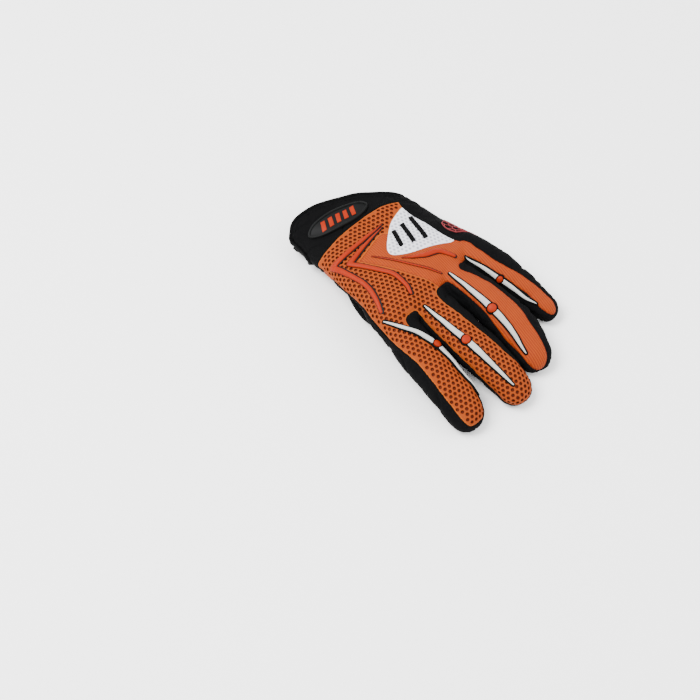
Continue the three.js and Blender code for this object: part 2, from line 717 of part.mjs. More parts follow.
// Grip prints on the pads of the index and middle finger: slanted lozenges
function padPieces() {
  const printed = layer(seamGap, seamGap + gripThickness);
  return Object.fromEntries(['index', 'middle'].map((name) => {
    const { centre } = fingers[name].at(-1);
    const place = new THREE.Vector2(centre.x, centre.y + tipLength / 2);
    const lozenge = [[-0.5, -0.1], [-0.2, -0.2], [0.2, -0.12], [0.5, 0.16], [0.12, 0.24], [-0.3, 0.14]].map(
      ([x, y]) => new THREE.Vector2(x * fingerWidth * 0.8, y * fingerWidth).add(place),
    );
    return [`${name}_grip`, [printed.intersect(prism(lozenge, -farAway, centre.z)), 'print']];
  }));
}

function makeMesh(name, solid, [colour, roughness, metalness]) {
  const material = new THREE.MeshStandardMaterial({ color: colour, roughness, metalness });
  const mesh = new THREE.Mesh(toGeometry(mainBody(solid)), material);
  mesh.name = name;
  return mesh;
}

function makeGlove() {
  const pieces = {
    ...shellPieces(),
    ...ribPieces(),
    ...badgePieces(),
    ...strapPieces(),
    ...patchBarPieces(),
    ...gripPiece(),
    ...padPieces(),
  };
  guardTable.forEach((row) => Object.assign(pieces, guardPieces(row)));
  const glove = new THREE.Group();
  Object.entries(pieces).forEach(([name, [solid, finish]]) => {
    glove.add(makeMesh(name, solid, colours[finish]));
  });
  const { min, max } = new THREE.Box3().setFromObject(glove);
  glove.position.set(-(min.x + max.x) / 2, -(min.y + max.y) / 2, -min.z);
  return glove;
}

export default makeGlove();
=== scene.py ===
"""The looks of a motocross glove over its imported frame. Lengths are millimetres until a mesh is made."""
import math

import bpy
import numpy as np
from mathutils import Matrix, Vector, kdtree
from mathutils.bvhtree import BVHTree


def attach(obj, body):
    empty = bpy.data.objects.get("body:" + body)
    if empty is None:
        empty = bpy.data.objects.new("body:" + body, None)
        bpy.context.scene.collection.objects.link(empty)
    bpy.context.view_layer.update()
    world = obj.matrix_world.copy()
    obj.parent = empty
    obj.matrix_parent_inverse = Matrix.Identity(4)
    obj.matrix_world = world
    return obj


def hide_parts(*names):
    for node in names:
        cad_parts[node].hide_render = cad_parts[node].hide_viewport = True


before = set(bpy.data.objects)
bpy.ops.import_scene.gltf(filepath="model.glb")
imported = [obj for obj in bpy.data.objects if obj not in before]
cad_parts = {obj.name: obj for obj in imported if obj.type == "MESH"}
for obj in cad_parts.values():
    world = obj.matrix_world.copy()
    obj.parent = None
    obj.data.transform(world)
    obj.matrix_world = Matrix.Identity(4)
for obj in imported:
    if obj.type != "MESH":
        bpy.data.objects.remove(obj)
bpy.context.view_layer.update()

# Driving sizes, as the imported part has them
GLOVE_LENGTH = 225.0
FINGER_WIDTH = 30.0
GLOVE_WIDTH = 4 * FINGER_WIDTH + 6.0
GLOVE_HEIGHT = 41.0
HAND_DEPTH = 28.0
FINGER_DEPTH = 23.0
THUMB_WIDTH = 36.0
THUMB_DEPTH = 13.0
CUFF_RISE = 5.0
TIP_RISE = 1.0
TIP_LENGTH = FINGER_WIDTH / 2
SEAM_GAP = 0.3
RIB_WIDTH = 5.0
RIB_THICKNESS = 1.6
RIB_SLIMMING = 0.88
BLADE_WIDTH = 5.6
BLADE_THICKNESS = 1.3
GUARD_BASE_THICKNESS = 0.8
GUARD_BORDER = 1.2
GUARD_STEPS = 14
STUD_RADIUS = 3.3
STUD_THICKNESS = 1.9
BADGE_LENGTH = 51.0
BADGE_WIDTH = 18.0
BADGE_THICKNESS = 2.0
BADGE_RIM = 1.8
STRAP_THICKNESS = 2.0
STRAP_WIDTH = 25.0
TAB_LENGTH = 78.0
TAB_WIDTH = 20.0
TAB_THICKNESS = 2.4
TAB_RIM = 2.0
FIELD_DEPTH = 0.8
BAR_THICKNESS = 0.5
PRINT_THICKNESS = 0.7
PRINT_LINE = 0.5
HONEYCOMB_PITCH = 5.2
THUMB_PATCH_LENGTH = 33.0
THUMB_PATCH_WIDTH = 29.0
PLAN_ORIGIN = np.array([10.375, -4.230, 0.0])
MM = 0.001

# Where the badge, the white inset's bars and the strap lie: shares of width and length, and degrees
BADGE_PLACE = (-0.095, 0.365)
BADGE_ANGLE = -7
BADGE_BARS = 5
PATCH_BAR_ROW = [(0.07, 0.17), (0.23, 0.17)]
PATCH_BARS = 3
STRAP_PLACE = (-0.36, 0.385)
STRAP_ANGLE = -14
TAB_BARS = 4

# A bar's length as a share of its plate's width, and its width and lean as shares of the bars' pitch
BAR_REACH = 0.45
BAR_SHARE = 0.55
BAR_LEAN = 0.2

# Cloth: how thick the panels are, and the holes of the mesh
CLOTH = 1.4
MESH_CLOTH = 0.9
LINING_CLOTH = 0.3
LINING_DEPTH = 1.3
HOLE_RADIUS = 1.2
HOLE_PITCH = 3.9
SEAM_SMOOTHING = 42
FLAT_SHARE = 0.07
EDGE_SINK = 0.35
SINK_REACH = 0.8
PUFF = 0.6
PUFF_REACH = 2.2
THUMB_PUFF = 0.2
FLOOR_GAP = 0.02
THUMB_FLOOR_GAP = 0.05
PANEL_FLOOR_GAP = 0.5
STITCH_LENGTH = 2.3
STITCH_GAP = 1.1
STITCH_RADIUS = 0.26
STITCH_SINK = 0.05
SEAM_INSET = 1.7
THREAD_SIDES = 6
CORD_STEP = 1.2
CORD_RADIUS = 1.5
CORD_SINK = 0.5
CORD_SIDES = 8
RIM_LEAST = 40
RIM_STITCH_INSET = 3.4

# A stitch from end to end: along, thickness and lift, as shares of its length and radius
THREAD_PROFILE = [(-0.5, 0.25, -0.5), (-0.35, 0.85, 0), (0, 1, 0.25), (0.35, 0.85, 0), (0.5, 0.25, -0.5)]

# How finely the skin is made
VOXEL = 1.05
FINE = 1
FINEST = 2 * FINE
SHARP_ANGLE = 38
PRINT_SHARP_ANGLE = 60
SKIN_SIDES = 72
SKIN_SMOOTHING = 8
ROWS_BETWEEN = 7
BODY_ROUNDNESS = 2.5
FINGER_ROUNDNESS = 2.2

# Colours and shine of the cloths
# The first mesh colour is painted shade, laid round the edge of each hole
MESH_HOLE_SHADE = (0.085, 0.009, 0.0)
MESH_DARK = (0.18, 0.026, 0.0)
MESH_LIGHT = (0.27, 0.048, 0.0)
MESH_EDGE = (0.32, 0.066, 0.003)
KNIT_DARK = (0.14, 0.013, 0.0)
KNIT_MIDDLE = (0.21, 0.026, 0.0)
KNIT_LIGHT = (0.26, 0.038, 0.0)
BLACK_DARK = (0.0008, 0.0008, 0.0009)
CLOTH_SPECULAR = 0.04
THREAD_SPECULAR = 0.05
MOULDED_SPECULAR = 0.08
BUMP_STRENGTH = 0.8

# Camera: where the photograph was taken from, and the pixel of the table origin on the floor
IMAGE_SIZE = 700
CAMERA_AZIMUTH = -39.0
CAMERA_ELEVATION = 58.0
CAMERA_DISTANCE = 1300.0
PIXELS_PER_MM = 1.36
ORIGIN_PIXEL = (420.0, 305.0)
SENSOR_WIDTH = 36.0

# Stage, in metres: the floor, the world, and each light's place, power and size
FLOOR_HALF = 4.0
FLOOR_GREY = 0.92
FLOOR_ROUGHNESS = 0.9
WORLD_STRENGTH = 2.1
LIGHTS = {
    "key": ((-0.7, 0.5, 1.5), 70, 0.9),
    "fill": ((0.9, -0.9, 1.2), 20, 1.2),
}

# Sections of wrist and hand: along, across, lift, half width, half depth, roll, slant
HAND = np.array([
    [0.52, -0.016, 0, 0.341, 0.45, 0, 0],
    [0.427, -0.016, 0, 0.341, 0.45, 0, 0],
    [0.364, -0.008, 0, 0.349, 0.465, 0, 0],
    [0.302, 0, 0, 0.365, 0.5, 0, 0],
    [0.222, 0.02, 0.044, 0.393, 0.5, 6, 0],
    [0.133, 0.034, 0.129, 0.419, 0.482, 8, 0],
    [0.044, 0.05, 0.19, 0.442, 0.464, 9, 0.05],
    [-0.018, 0.06, 0.227, 0.456, 0.43, 9, 0.2],
    [-0.053, 0.048, 0.3, 0.413, 0.32, 9, 0.25],
    [-0.076, 0.044, 0.385, 0.345, 0.18, 9, 0.25],
])

# Sections of the fingers: along, across, lift, half width, half depth, roll, and the two back seams' angles
FINGERS = {
    "index": np.array([
        [0.062, -0.27, 0.51, 0.367, 0.35, 8, -80, 0],
        [-0.009, -0.286, 0.4, 0.5, 0.5, 8, -80, 0],
        [-0.111, -0.302, 0.378, 0.483, 0.5, 8, -78, 0],
        [-0.222, -0.315, 0.317, 0.5, 0.478, 6, -48, 48],
        [-0.333, -0.305, 0.16, 0.51, 0.457, 3, -52, 62],
        [-0.418, -0.306, 0, 0.47, 0.435, 0, -48, 66],
    ]),
    "middle": np.array([
        [0.062, -0.056, 0.44, 0.4, 0.35, 8, -60, -10],
        [-0.009, -0.055, 0.354, 0.533, 0.5, 8, -70, -10],
        [-0.124, -0.052, 0.354, 0.533, 0.5, 5, -74, 20],
        [-0.244, -0.035, 0.293, 0.55, 0.478, 4, -74, 40],
        [-0.356, -0.004, 0.16, 0.53, 0.457, 0, -80, 50],
        [-0.444, 0.014, 0, 0.46, 0.435, 0, -90, 72],
    ]),
    "ring": np.array([
        [0.062, 0.155, 0.39, 0.4, 0.35, 8, -46, -26],
        [0, 0.168, 0.28, 0.5, 0.5, 8, -46, -26],
        [-0.111, 0.213, 0.28, 0.5, 0.5, 5, -54, 34],
        [-0.222, 0.256, 0.22, 0.53, 0.478, 4, -66, 46],
        [-0.32, 0.268, 0.11, 0.53, 0.457, 0, -74, 38],
        [-0.391, 0.249, 0, 0.467, 0.435, 0, -56, 42],
    ]),
    "pinky": np.array([
        [0.071, 0.365, 0.29, 0.367, 0.35, 8, -56, -6],
        [0, 0.402, 0.22, 0.45, 0.478, 8, -56, -6],
        [-0.08, 0.447, 0.185, 0.417, 0.478, 5, -60, -12],
        [-0.16, 0.48, 0.125, 0.39, 0.435, 4, -48, 12],
        [-0.222, 0.502, 0.035, 0.38, 0.413, 0, -28, 32],
        [-0.267, 0.516, 0, 0.35, 0.391, 0, -42, 36],
    ]),
}
THUMB = np.array([
    [0.19, -0.18, 0.42, 0.4, 0.5, 0, 0, 0],
    [0.124, -0.215, 0.24, 0.48, 0.5, 0, 0, 0],
    [0.05, -0.205, 0.03, 0.5, 0.5, 0, 0, 0],
    [-0.04, -0.13, 0, 0.44, 0.5, 0, 0, 0],
    [-0.09, -0.07, 0, 0.36, 0.46, 0, 0, 0],
])

# Seam and panel outlines in plan, as shares of the glove's width and length
RIM_LINE = [
    [0.556, 0.267], [0.357, 0.32], [0.27, 0.356], [0.135, 0.404], [0.008, 0.436], [-0.135, 0.462],
    [-0.302, 0.471], [-0.365, 0.431], [-0.6, 0.4],
]
CUFF_SEAM_LINE = [
    [-0.6, 0.267], [-0.357, 0.284], [-0.222, 0.302], [-0.071, 0.311], [0.071, 0.318], [0.206, 0.311],
    [0.286, 0.293], [0.6, 0.276],
]
BACK_OUTLINE = [
    [-0.6, 0.36], [0.27, 0.36], [0.255, 0.272], [0.29, 0.187], [0.31, 0.116], [0.34, 0.062],
    [0.395, 0.035], [0.42, -0.01], [0.26, -0.026], [0.21, -0.03], [0.12, -0.058], [0.03, -0.062],
    [-0.1, -0.085], [-0.22, -0.088], [-0.3, -0.092], [-0.6, -0.115],
]
WHITE_OUTLINE = [
    [0.255, 0.272], [0.18, 0.256], [0.12, 0.24], [0.055, 0.207], [-0.008, 0.172], [-0.042, 0.148],
    [-0.045, 0.126], [-0.012, 0.112], [0.059, 0.096], [0.158, 0.083], [0.254, 0.071], [0.345, 0.052],
    [0.4, 0.1], [0.4, 0.25],
]
KNIT_OUTLINE = [
    [0.08, 0.16], [0.045, 0.222], [-0.03, 0.212], [-0.12, 0.192], [-0.22, 0.172], [-0.167, 0.133],
    [-0.1, 0.07], [-0.04, 0.018], [0, -0.02], [0.04, -0.06], [0.086, -0.111], [0.117, -0.222],
    [0.131, -0.32], [0.133, -0.444], [0.133, -0.578], [0.8, -0.578], [0.8, 0.133], [0.341, 0.06],
    [0.151, 0.1],
]
GUSSET_OUTLINE = [
    [-0.6, 0.24], [-0.286, 0.262], [-0.111, 0.28], [-0.095, 0.231], [-0.19, 0.21], [-0.6, 0.19],
]


# Moulded ribs on the back of the hand: across, along, and the width there as a share of RIB_WIDTH
RIBS = {
    "flame_rib_outer": np.array([
        [0.07, 0.252, 0.16], [-0.1, 0.235, 0.68], [-0.345, 0.217, 1], [-0.325, 0.155, 0.88],
        [-0.303, 0.08, 0.82], [-0.318, 0.02, 0.76], [-0.349, -0.031, 0.5],
    ]),
    "flame_rib_inner": np.array([
        [0.055, 0.241, 0.16], [-0.13, 0.21, 0.64], [-0.274, 0.182, 0.92], [-0.18, 0.104, 0.86],
        [-0.13, 0.05, 0.84], [-0.125, 0, 0.76], [-0.142, -0.038, 0.5],
    ]),
    "flame_rib_side": np.array([
        [-0.01, 0.092, 0.16], [0.1, 0.058, 0.84], [0.195, 0.045, 1], [0.249, 0.003, 0.6],
    ]),
    "flame_line": np.array([
        [-0.139, 0.158, 0.16], [-0.034, 0.077, 0.34], [0.045, 0.016, 0.34], [0.1, -0.028, 0.24],
    ]),
}
RIB_CORNER = 2
# How far the dark band next to each rib is shifted to one side: that one-sided band is painted shadow
RIB_SHADOW_SHIFT = np.array([0.6, -0.45, 0.0])

# Finger guards: stations from root (0) to tip (1), and angles from the top towards the little finger
GUARDS = {
    "index": [(0.31, -44), (0.58, 46), (0.96, 68)],
    "middle": [(0.35, -34), (0.62, -21), (1, -14)],
    "ring": [(0.28, -23), (0.58, -31), (1, -29)],
    "pinky": [(0.19, -58), (0.51, -56), (0.98, -32)],
}

GUARD_SIZES = {"index": 0.95, "middle": 1.0, "ring": 1.0, "pinky": 0.72}

# The palm's honeycomb print: millimetres round the section from the underside's middle, and the share along
GRIP_OUTLINE = [
    [11, 0.16], [25, 0.204], [45, 0.222], [58, 0.17], [69, 0.152], [76, 0.142], [75, 0.065], [66, 0.035],
    [50, -0.009], [41, 0.044], [35, 0.053], [33, 0], [29, -0.036], [19, -0.04], [15, -0.018],
]
LOZENGE = np.array([[-0.5, -0.1], [-0.2, -0.2], [0.2, -0.12], [0.5, 0.16], [0.12, 0.24], [-0.3, 0.14]])


def plan(shares):
    """Plan points in millimetres from shares of width and length."""
    return np.array(shares, float) * [GLOVE_WIDTH, GLOVE_LENGTH]


def spline(rows, per_row):
    """Rows of numbers made finer with a Catmull-Rom curve through them."""
    padded = np.vstack([2 * rows[0] - rows[1], rows, 2 * rows[-1] - rows[-2]])
    out = []
    for i in range(len(rows) - 1):
        a, b, c, d = padded[i:i + 4]
        for k in range(per_row):
            t = k / per_row
            out.append(0.5 * ((2 * b) + (c - a) * t + (2 * a - 5 * b + 4 * c - d) * t * t
                              + (3 * b - a - 3 * c + d) * t ** 3))
    out.append(rows[-1])
    return np.array(out)


def unit(vectors):
    """Vectors brought to length one."""
    return vectors / np.maximum(np.linalg.norm(vectors, axis=-1, keepdims=True), 1e-12)


def dots(a, b):
    """The dot product of each row of one with the same row of the other."""
    return np.einsum("ij,ij->i", a, b)


def round_power(value, roundness):
    """A sine or cosine for a section between an oval and a rectangle."""
    return np.sign(value) * np.abs(value) ** (2 / roundness)


class Tube:
    """A soft tube: centres, side and up directions, and half sizes along a path."""

    def __init__(self, centre, side, up, half_width, half_depth, roundness):
        self.rows = np.hstack([centre, side, up, half_width[:, None], half_depth[:, None]])
        self.roundness = roundness
        self.last = len(centre) - 1
        self.step = dots(np.gradient(centre, axis=0), unit(np.cross(side, up)))

    def at(self, place):
        """Centre, side, up, half width and half depth at fractional places along the tube."""
        low = np.clip(place.astype(int), 0, self.last - 1)
        share = (place - low)[:, None]
        rows = self.rows[low] * (1 - share) + self.rows[low + 1] * share
        return rows[:, :3], rows[:, 3:6], rows[:, 6:9], rows[:, 9], rows[:, 10]

    def rings(self, sides):
        turn = np.linspace(0, 2 * math.pi, sides, endpoint=False)
        centre, side, up, half_width, half_depth = self.at(np.arange(self.last + 1.0))
        u = half_width[:, None] * round_power(np.cos(turn), self.roundness)
        v = half_depth[:, None] * round_power(np.sin(turn), self.roundness)
        return centre[:, None] + u[..., None] * side[:, None] + v[..., None] * up[:, None]

    def locate(self, points):
        """Each point's place along the tube, its place in the section's plane, and how far out it lies."""
        centre = self.rows[:, :3]
        place = ((centre ** 2).sum(1) - 2 * points @ centre.T).argmin(1).astype(float)
        for _ in range(4):
            middle, side, up, _, _ = self.at(place)
            ahead = dots(points - middle, unit(np.cross(side, up)))
            step = np.maximum(np.interp(place, np.arange(self.last + 1), self.step), 0.2)
            place = np.clip(place + np.clip(ahead / step, -1.5, 1.5), 0, self.last)
        middle, side, up, half_width, half_depth = self.at(place)
        u = dots(points - middle, side)
        v = dots(points - middle, up)
        reach = (np.abs(u / half_width) ** self.roundness
                 + np.abs(v / half_depth) ** self.roundness) ** (1 / self.roundness)
        return place, u, v, reach

    def surface(self, place, angle):
        """Points on the tube at places along it and angles from its top."""
        centre, side, up, half_width, half_depth = self.at(place)
        u = half_width * round_power(np.sin(angle), self.roundness)
        v = half_depth * round_power(np.cos(angle), self.roundness)
        return centre + side * u[:, None] + up * v[:, None]


def hand_tube():
    """The wrist and hand."""
    rows = spline(HAND, ROWS_BETWEEN)
    along, across, lift, half_width, half_depth, roll, slant = rows.T
    tilt = np.radians(roll)
    depth = half_depth * HAND_DEPTH
    centre = np.stack([
        across * GLOVE_WIDTH, along * GLOVE_LENGTH, CUFF_RISE + lift * GLOVE_HEIGHT + depth,
    ], 1)
    side = np.stack([np.cos(tilt), slant, -np.sin(tilt)], 1)
    up = np.stack([np.sin(tilt), np.zeros_like(tilt), np.cos(tilt)], 1)
    return Tube(centre, side, up, half_width * GLOVE_WIDTH, depth, BODY_ROUNDNESS)


def digit_tube(table, width, depth, rise, tip_length):
    """A finger or thumb: its sections square to its path, and a round tip."""
    rows = spline(table, ROWS_BETWEEN)
    along, across, lift, half_width, half_depth, roll = rows.T[:6]
    half_width = half_width * width
    half_depth = half_depth * depth
    height = rise + lift * GLOVE_HEIGHT + half_depth
    centre = np.stack([across * GLOVE_WIDTH, along * GLOVE_LENGTH, height], 1)
    forward = unit(np.gradient(centre, axis=0))
    side = unit(np.cross([0, 0, 1], forward))
    up = np.cross(forward, side)
    tilt = np.radians(roll)[:, None]
    side, up = side * np.cos(tilt) - up * np.sin(tilt), up * np.cos(tilt) + side * np.sin(tilt)
    turns = np.radians(np.linspace(8, 88, 9))
    shrink = np.cos(turns) ** 0.9
    return Tube(
        np.vstack([centre, centre[-1] + forward[-1] * (tip_length * np.sin(turns))[:, None]]),
        np.vstack([side, np.repeat(side[-1:], len(turns), 0)]),
        np.vstack([up, np.repeat(up[-1:], len(turns), 0)]),
        np.concatenate([half_width, half_width[-1] * shrink]),
        np.concatenate([half_depth, half_depth[-1] * shrink]),
        FINGER_ROUNDNESS,
    )


hand = hand_tube()
fingers = {
    name: digit_tube(table, FINGER_WIDTH, FINGER_DEPTH, TIP_RISE, TIP_LENGTH)
    for name, table in FINGERS.items()
}
thumb = digit_tube(THUMB, THUMB_WIDTH, THUMB_DEPTH, SEAM_GAP, THUMB_WIDTH / 3)


def ring_faces(start, rows, sides, closed=False):
    """Faces between rings of vertices, with a cap at each end or the last ring joined to the first."""
    faces = []
    for row in range(rows if closed else rows - 1):
        here = start + row * sides
        after = start + (row + 1) % rows * sides
        for k in range(sides):
            n = (k + 1) % sides
            faces.append((here + k, here + n, after + n, after + k))
    if not closed:
        faces.append(tuple(start + k for k in reversed(range(sides))))
        faces.append(tuple(start + (rows - 1) * sides + k for k in range(sides)))
    return faces


def new_object(name, points, faces, **values):
    """A mesh object from table millimetres, put in the frame's metres, with numbers on its vertices."""
    mesh = bpy.data.meshes.new(name)
    placed = np.array(points, float)[:, :3]
    placed[:, 2] = np.maximum(placed[:, 2], FLOOR_GAP)
    placed = (placed - PLAN_ORIGIN) * MM
    mesh.from_pydata(placed.tolist(), [], [tuple(map(int, face)) for face in faces])
    mesh.update()
    mesh.shade_smooth()
    for value_name, numbers in values.items():
        attribute = mesh.attributes.new(value_name, "FLOAT", "POINT")
        attribute.data.foreach_set("value", numbers.astype(np.float32))
    piece = bpy.data.objects.new(name, mesh)
    bpy.context.scene.collection.objects.link(piece)
    return piece


def mesh_arrays(mesh):
    """Vertices in table millimetres, and triangles, of a mesh."""
    mesh.calc_loop_triangles()
    points = np.empty(len(mesh.vertices) * 3)
    mesh.vertices.foreach_get("co", points)
    triangles = np.empty(len(mesh.loop_triangles) * 3, np.int64)
    mesh.loop_triangles.foreach_get("vertices", triangles)
    return points.reshape(-1, 3) / MM + PLAN_ORIGIN, triangles.reshape(-1, 3)


def modified(points, faces, *modifiers):
    """A mesh's vertices and triangles after modifiers, each a kind and its settings."""
    source = new_object("source", points, faces)
    for kind, settings in modifiers:
        modifier = source.modifiers.new(kind, kind)
        for name, value in settings.items():
            setattr(modifier, name, value)
    evaluated = source.evaluated_get(bpy.context.evaluated_depsgraph_get())
    arrays = mesh_arrays(evaluated.to_mesh())
    evaluated.to_mesh_clear()
    bpy.data.objects.remove(source)
    return arrays


def fused_skin(tubes):
    """One closed smooth skin round several tubes."""
    points = []
    faces = []
    for tube in tubes:
        rings = tube.rings(SKIN_SIDES)
        faces += ring_faces(len(points) * SKIN_SIDES, len(rings), SKIN_SIDES)
        points.extend(rings)
    return modified(
        np.vstack(points), faces,
        ("REMESH", {"mode": "VOXEL", "voxel_size": VOXEL * MM}),
        ("SMOOTH", {"factor": 0.5, "iterations": SKIN_SMOOTHING}),
    )


def vertex_normals(points, triangles):
    """The smooth normals of a mesh's vertices."""
    corners = points[triangles][:, :, :3]
    flat = np.cross(corners[:, 1] - corners[:, 0], corners[:, 2] - corners[:, 0])
    normals = np.zeros((len(points), 3))
    for k in range(3):
        for axis in range(3):
            normals[:, axis] += np.bincount(triangles[:, k], flat[:, axis], len(points))
    return unit(normals)


def surface_area(points, triangles):
    """The area of a mesh."""
    corners = points[triangles][:, :, :3]
    flat = np.cross(corners[:, 1] - corners[:, 0], corners[:, 2] - corners[:, 0])
    return np.linalg.norm(flat, axis=1).sum() / 2


def all_edges(triangles):
    """The three edges of every triangle, in the direction it turns."""
    return np.vstack([triangles[:, [0, 1]], triangles[:, [1, 2]], triangles[:, [2, 0]]])


def smoothed(values, triangles, times):
    """Values on a mesh's vertices, averaged with their neighbours' a few times."""
    edges = all_edges(triangles)
    count = np.bincount(edges[:, 0], minlength=len(values)) + np.bincount(edges[:, 1], minlength=len(values))
    for _ in range(times):
        total = np.bincount(edges[:, 0], values[edges[:, 1]], len(values))
        total += np.bincount(edges[:, 1], values[edges[:, 0]], len(values))
        values = 0.5 * values + 0.5 * total / np.maximum(count, 1)
    return values


def waves(points, length, seed, count=16):
    """A smooth random field, mostly between -1 and 1, whose bumps are about a length apart."""
    random = np.random.default_rng(seed)
    directions = unit(random.normal(size=(count, 3))) * random.uniform(0.7, 1.5, (count, 1))
    phases = random.uniform(0, 2 * math.pi, count)
    angle = points[:, :3] @ directions.T * (2 * math.pi / length) + phases
    return np.sin(angle).sum(1) / math.sqrt(count)


def folds(points, length, width, seed):
    """Narrow valleys, from 0 down to -1, along the zero lines of a random field."""
    return -np.clip(1 - np.abs(waves(points, length, seed)) / width, 0, 1)


class Skin:
    """A triangle mesh whose rows are places and normals, with a tree to find places on it."""

    def __init__(self, points, triangles):
        self.triangles = triangles
        self.rows = np.hstack([points[:, :3], vertex_normals(points, triangles)])
        self.tree = BVHTree.FromPolygons(points[:, :3].tolist(), triangles.tolist())

    def nearest(self, points):
        """The nearest places on the skin, and its smooth normals there."""
        hits = [self.tree.find_nearest(Vector(point)) for point in points]
        found = np.array([hit[0] for hit in hits])
        corners = self.rows[self.triangles[[hit[2] for hit in hits]]]
        return found, unit(weighed(found, corners[:, :, :3], corners[:, :, 3:]))

    def below(self, flat):
        """Where straight lines down from above first meet the skin."""
        high = 3 * GLOVE_HEIGHT
        hits = [self.tree.ray_cast(Vector((x, y, high)), Vector((0, 0, -1))) for x, y in flat]
        return np.array([hit[0] if hit[0] else (x, y, HAND_DEPTH) for hit, (x, y) in zip(hits, flat)])

    def outside(self, points):
        """Signed distances from the skin: positive outside it."""
        found, normals = self.nearest(points[:, :3])
        return dots(points[:, :3] - found, normals)


def split(points, triangles, field):
    """The part of a mesh where a field is positive, and the part where it is negative."""
    field = np.where(np.abs(field) < 1e-4, 1e-4, field)
    positive = field > 0
    edges = np.sort(all_edges(triangles), axis=1)
    edges = np.unique(edges[positive[edges[:, 0]] != positive[edges[:, 1]]], axis=0)
    share = field[edges[:, 0]] / (field[edges[:, 0]] - field[edges[:, 1]])
    crossing = points[edges[:, 0]] + share[:, None] * (points[edges[:, 1]] - points[edges[:, 0]])
    index = {(int(a), int(b)): len(points) + i for i, (a, b) in enumerate(edges)}
    everything = np.vstack([points, crossing])
    count = positive[triangles].sum(1)
    kept = {True: [triangles[count == 3]], False: [triangles[count == 0]]}
    mixed = {True: [], False: []}
    for triangle in triangles[(count > 0) & (count < 3)].tolist():
        signs = [bool(positive[i]) for i in triangle]
        lone = signs.index(sum(signs) == 1)
        a, b, c = (triangle[(lone + k) % 3] for k in range(3))
        ab = index[(min(a, b), max(a, b))]
        ac = index[(min(a, c), max(a, c))]
        mixed[signs[lone]].append((a, ab, ac))
        mixed[not signs[lone]] += [(ab, b, c), (ab, c, ac)]
    parts = []
    for side in (True, False):
        chosen = np.vstack(kept[side] + [np.array(mixed[side], np.int64).reshape(-1, 3)])
        used, inverse = np.unique(chosen, return_inverse=True)
        parts.append((everything[used], inverse.reshape(-1, 3)))
    return parts


def labels_of(count, triangles):
    """A number for each vertex that is the same all over a connected part."""
    labels = np.arange(count)
    edges = all_edges(triangles)
    while True:
        low = np.minimum(labels[edges[:, 0]], labels[edges[:, 1]])
        new = labels.copy()
        np.minimum.at(new, edges[:, 0], low)
        np.minimum.at(new, edges[:, 1], low)
        new = new[new]
        if np.array_equal(new, labels):
            return labels
        labels = new


def main_part(points, triangles):
    """The largest connected part of a mesh."""
    labels = labels_of(len(points), triangles)
    names, counts = np.unique(labels[triangles[:, 0]], return_counts=True)
    chosen = triangles[labels[triangles[:, 0]] == names[counts.argmax()]]
    used, inverse = np.unique(chosen, return_inverse=True)
    return points[used], inverse.reshape(-1, 3)


def finer(points, triangles, times):
    """Each triangle made four, a number of times."""
    for _ in range(times):
        edges = np.sort(all_edges(triangles), axis=1)
        unique, inverse = np.unique(edges, axis=0, return_inverse=True)
        halves = inverse.reshape(3, -1).T + len(points)
        points = np.vstack([points, points[unique].mean(1)])
        a, b, c = triangles.T
        ab, bc, ca = halves.T
        triangles = np.vstack([
            np.stack(corner, 1) for corner in ((a, ab, ca), (ab, b, bc), (ca, bc, c), (ab, bc, ca))
        ])
    return points, triangles


def outline_field(points, outline):
    """Signed distance in plan to a closed outline: positive inside."""
    flat = points[:, :2]
    best = np.full(len(points), 1e9)
    inside = np.zeros(len(points), bool)
    for a, b in zip(outline, np.roll(outline, -1, axis=0)):
        d = b - a
        t = np.clip(((flat - a) @ d) / max(d @ d, 1e-12), 0, 1)
        best = np.minimum(best, np.linalg.norm(flat - a - t[:, None] * d, axis=1))
        if a[1] != b[1]:
            crosses = (a[1] > flat[:, 1]) != (b[1] > flat[:, 1])
            inside ^= crosses & (flat[:, 0] < d[0] * (flat[:, 1] - a[1]) / d[1] + a[0])
    return np.where(inside, best, -best)


def rounded(outline, sharp=()):
    """An outline with its corners rounded by Chaikin's rule, except the listed ones."""
    points = np.asarray(outline, float)
    marks = np.array([i in sharp for i in range(len(points))])
    for _ in range(3):
        new_points, new_marks = [], []
        for i, point in enumerate(points):
            if marks[i]:
                new_points.append(point)
                new_marks.append(True)
            else:
                after = points[(i + 1) % len(points)]
                new_points += [0.75 * point + 0.25 * points[i - 1], 0.75 * point + 0.25 * after]
                new_marks += [False, False]
        points, marks = np.array(new_points), np.array(new_marks)
    return points


def back_field(points):
    """Positive on the back panels: the upper part of the hand, and the back sectors of the fingers."""
    _, _, v, _ = hand.locate(points)
    last = len(BACK_OUTLINE) - 1
    field = np.minimum(outline_field(points, rounded(plan(BACK_OUTLINE), sharp=(0, 1, last))), v + 1.0)
    for name, tube in fingers.items():
        table = FINGERS[name]
        stations = np.arange(len(table)) * ROWS_BETWEEN
        place, u, v, reach = tube.locate(points)
        angle = np.arctan2(u, v)
        seam_from = np.radians(np.interp(place, stations, table[:, 6]))
        seam_to = np.radians(np.interp(place, stations, table[:, 7]))
        sector = np.minimum(angle - seam_from, seam_to - angle) * np.hypot(u, v)
        sector = np.minimum(sector, 60 * (1.14 - reach))
        sector = np.minimum(sector, (place - ROWS_BETWEEN) * 2)
        field = np.maximum(field, sector)
    return field


def front_corners(line):
    """An outline of all that lies in front of a line across the wrist."""
    return plan([[-0.6, -0.8], [0.8, -0.8], *line])


def front_outline(line):
    """The same outline with a rounded line and sharp corners."""
    return rounded(front_corners(line), sharp=(0, 1, 2, len(line) + 1))


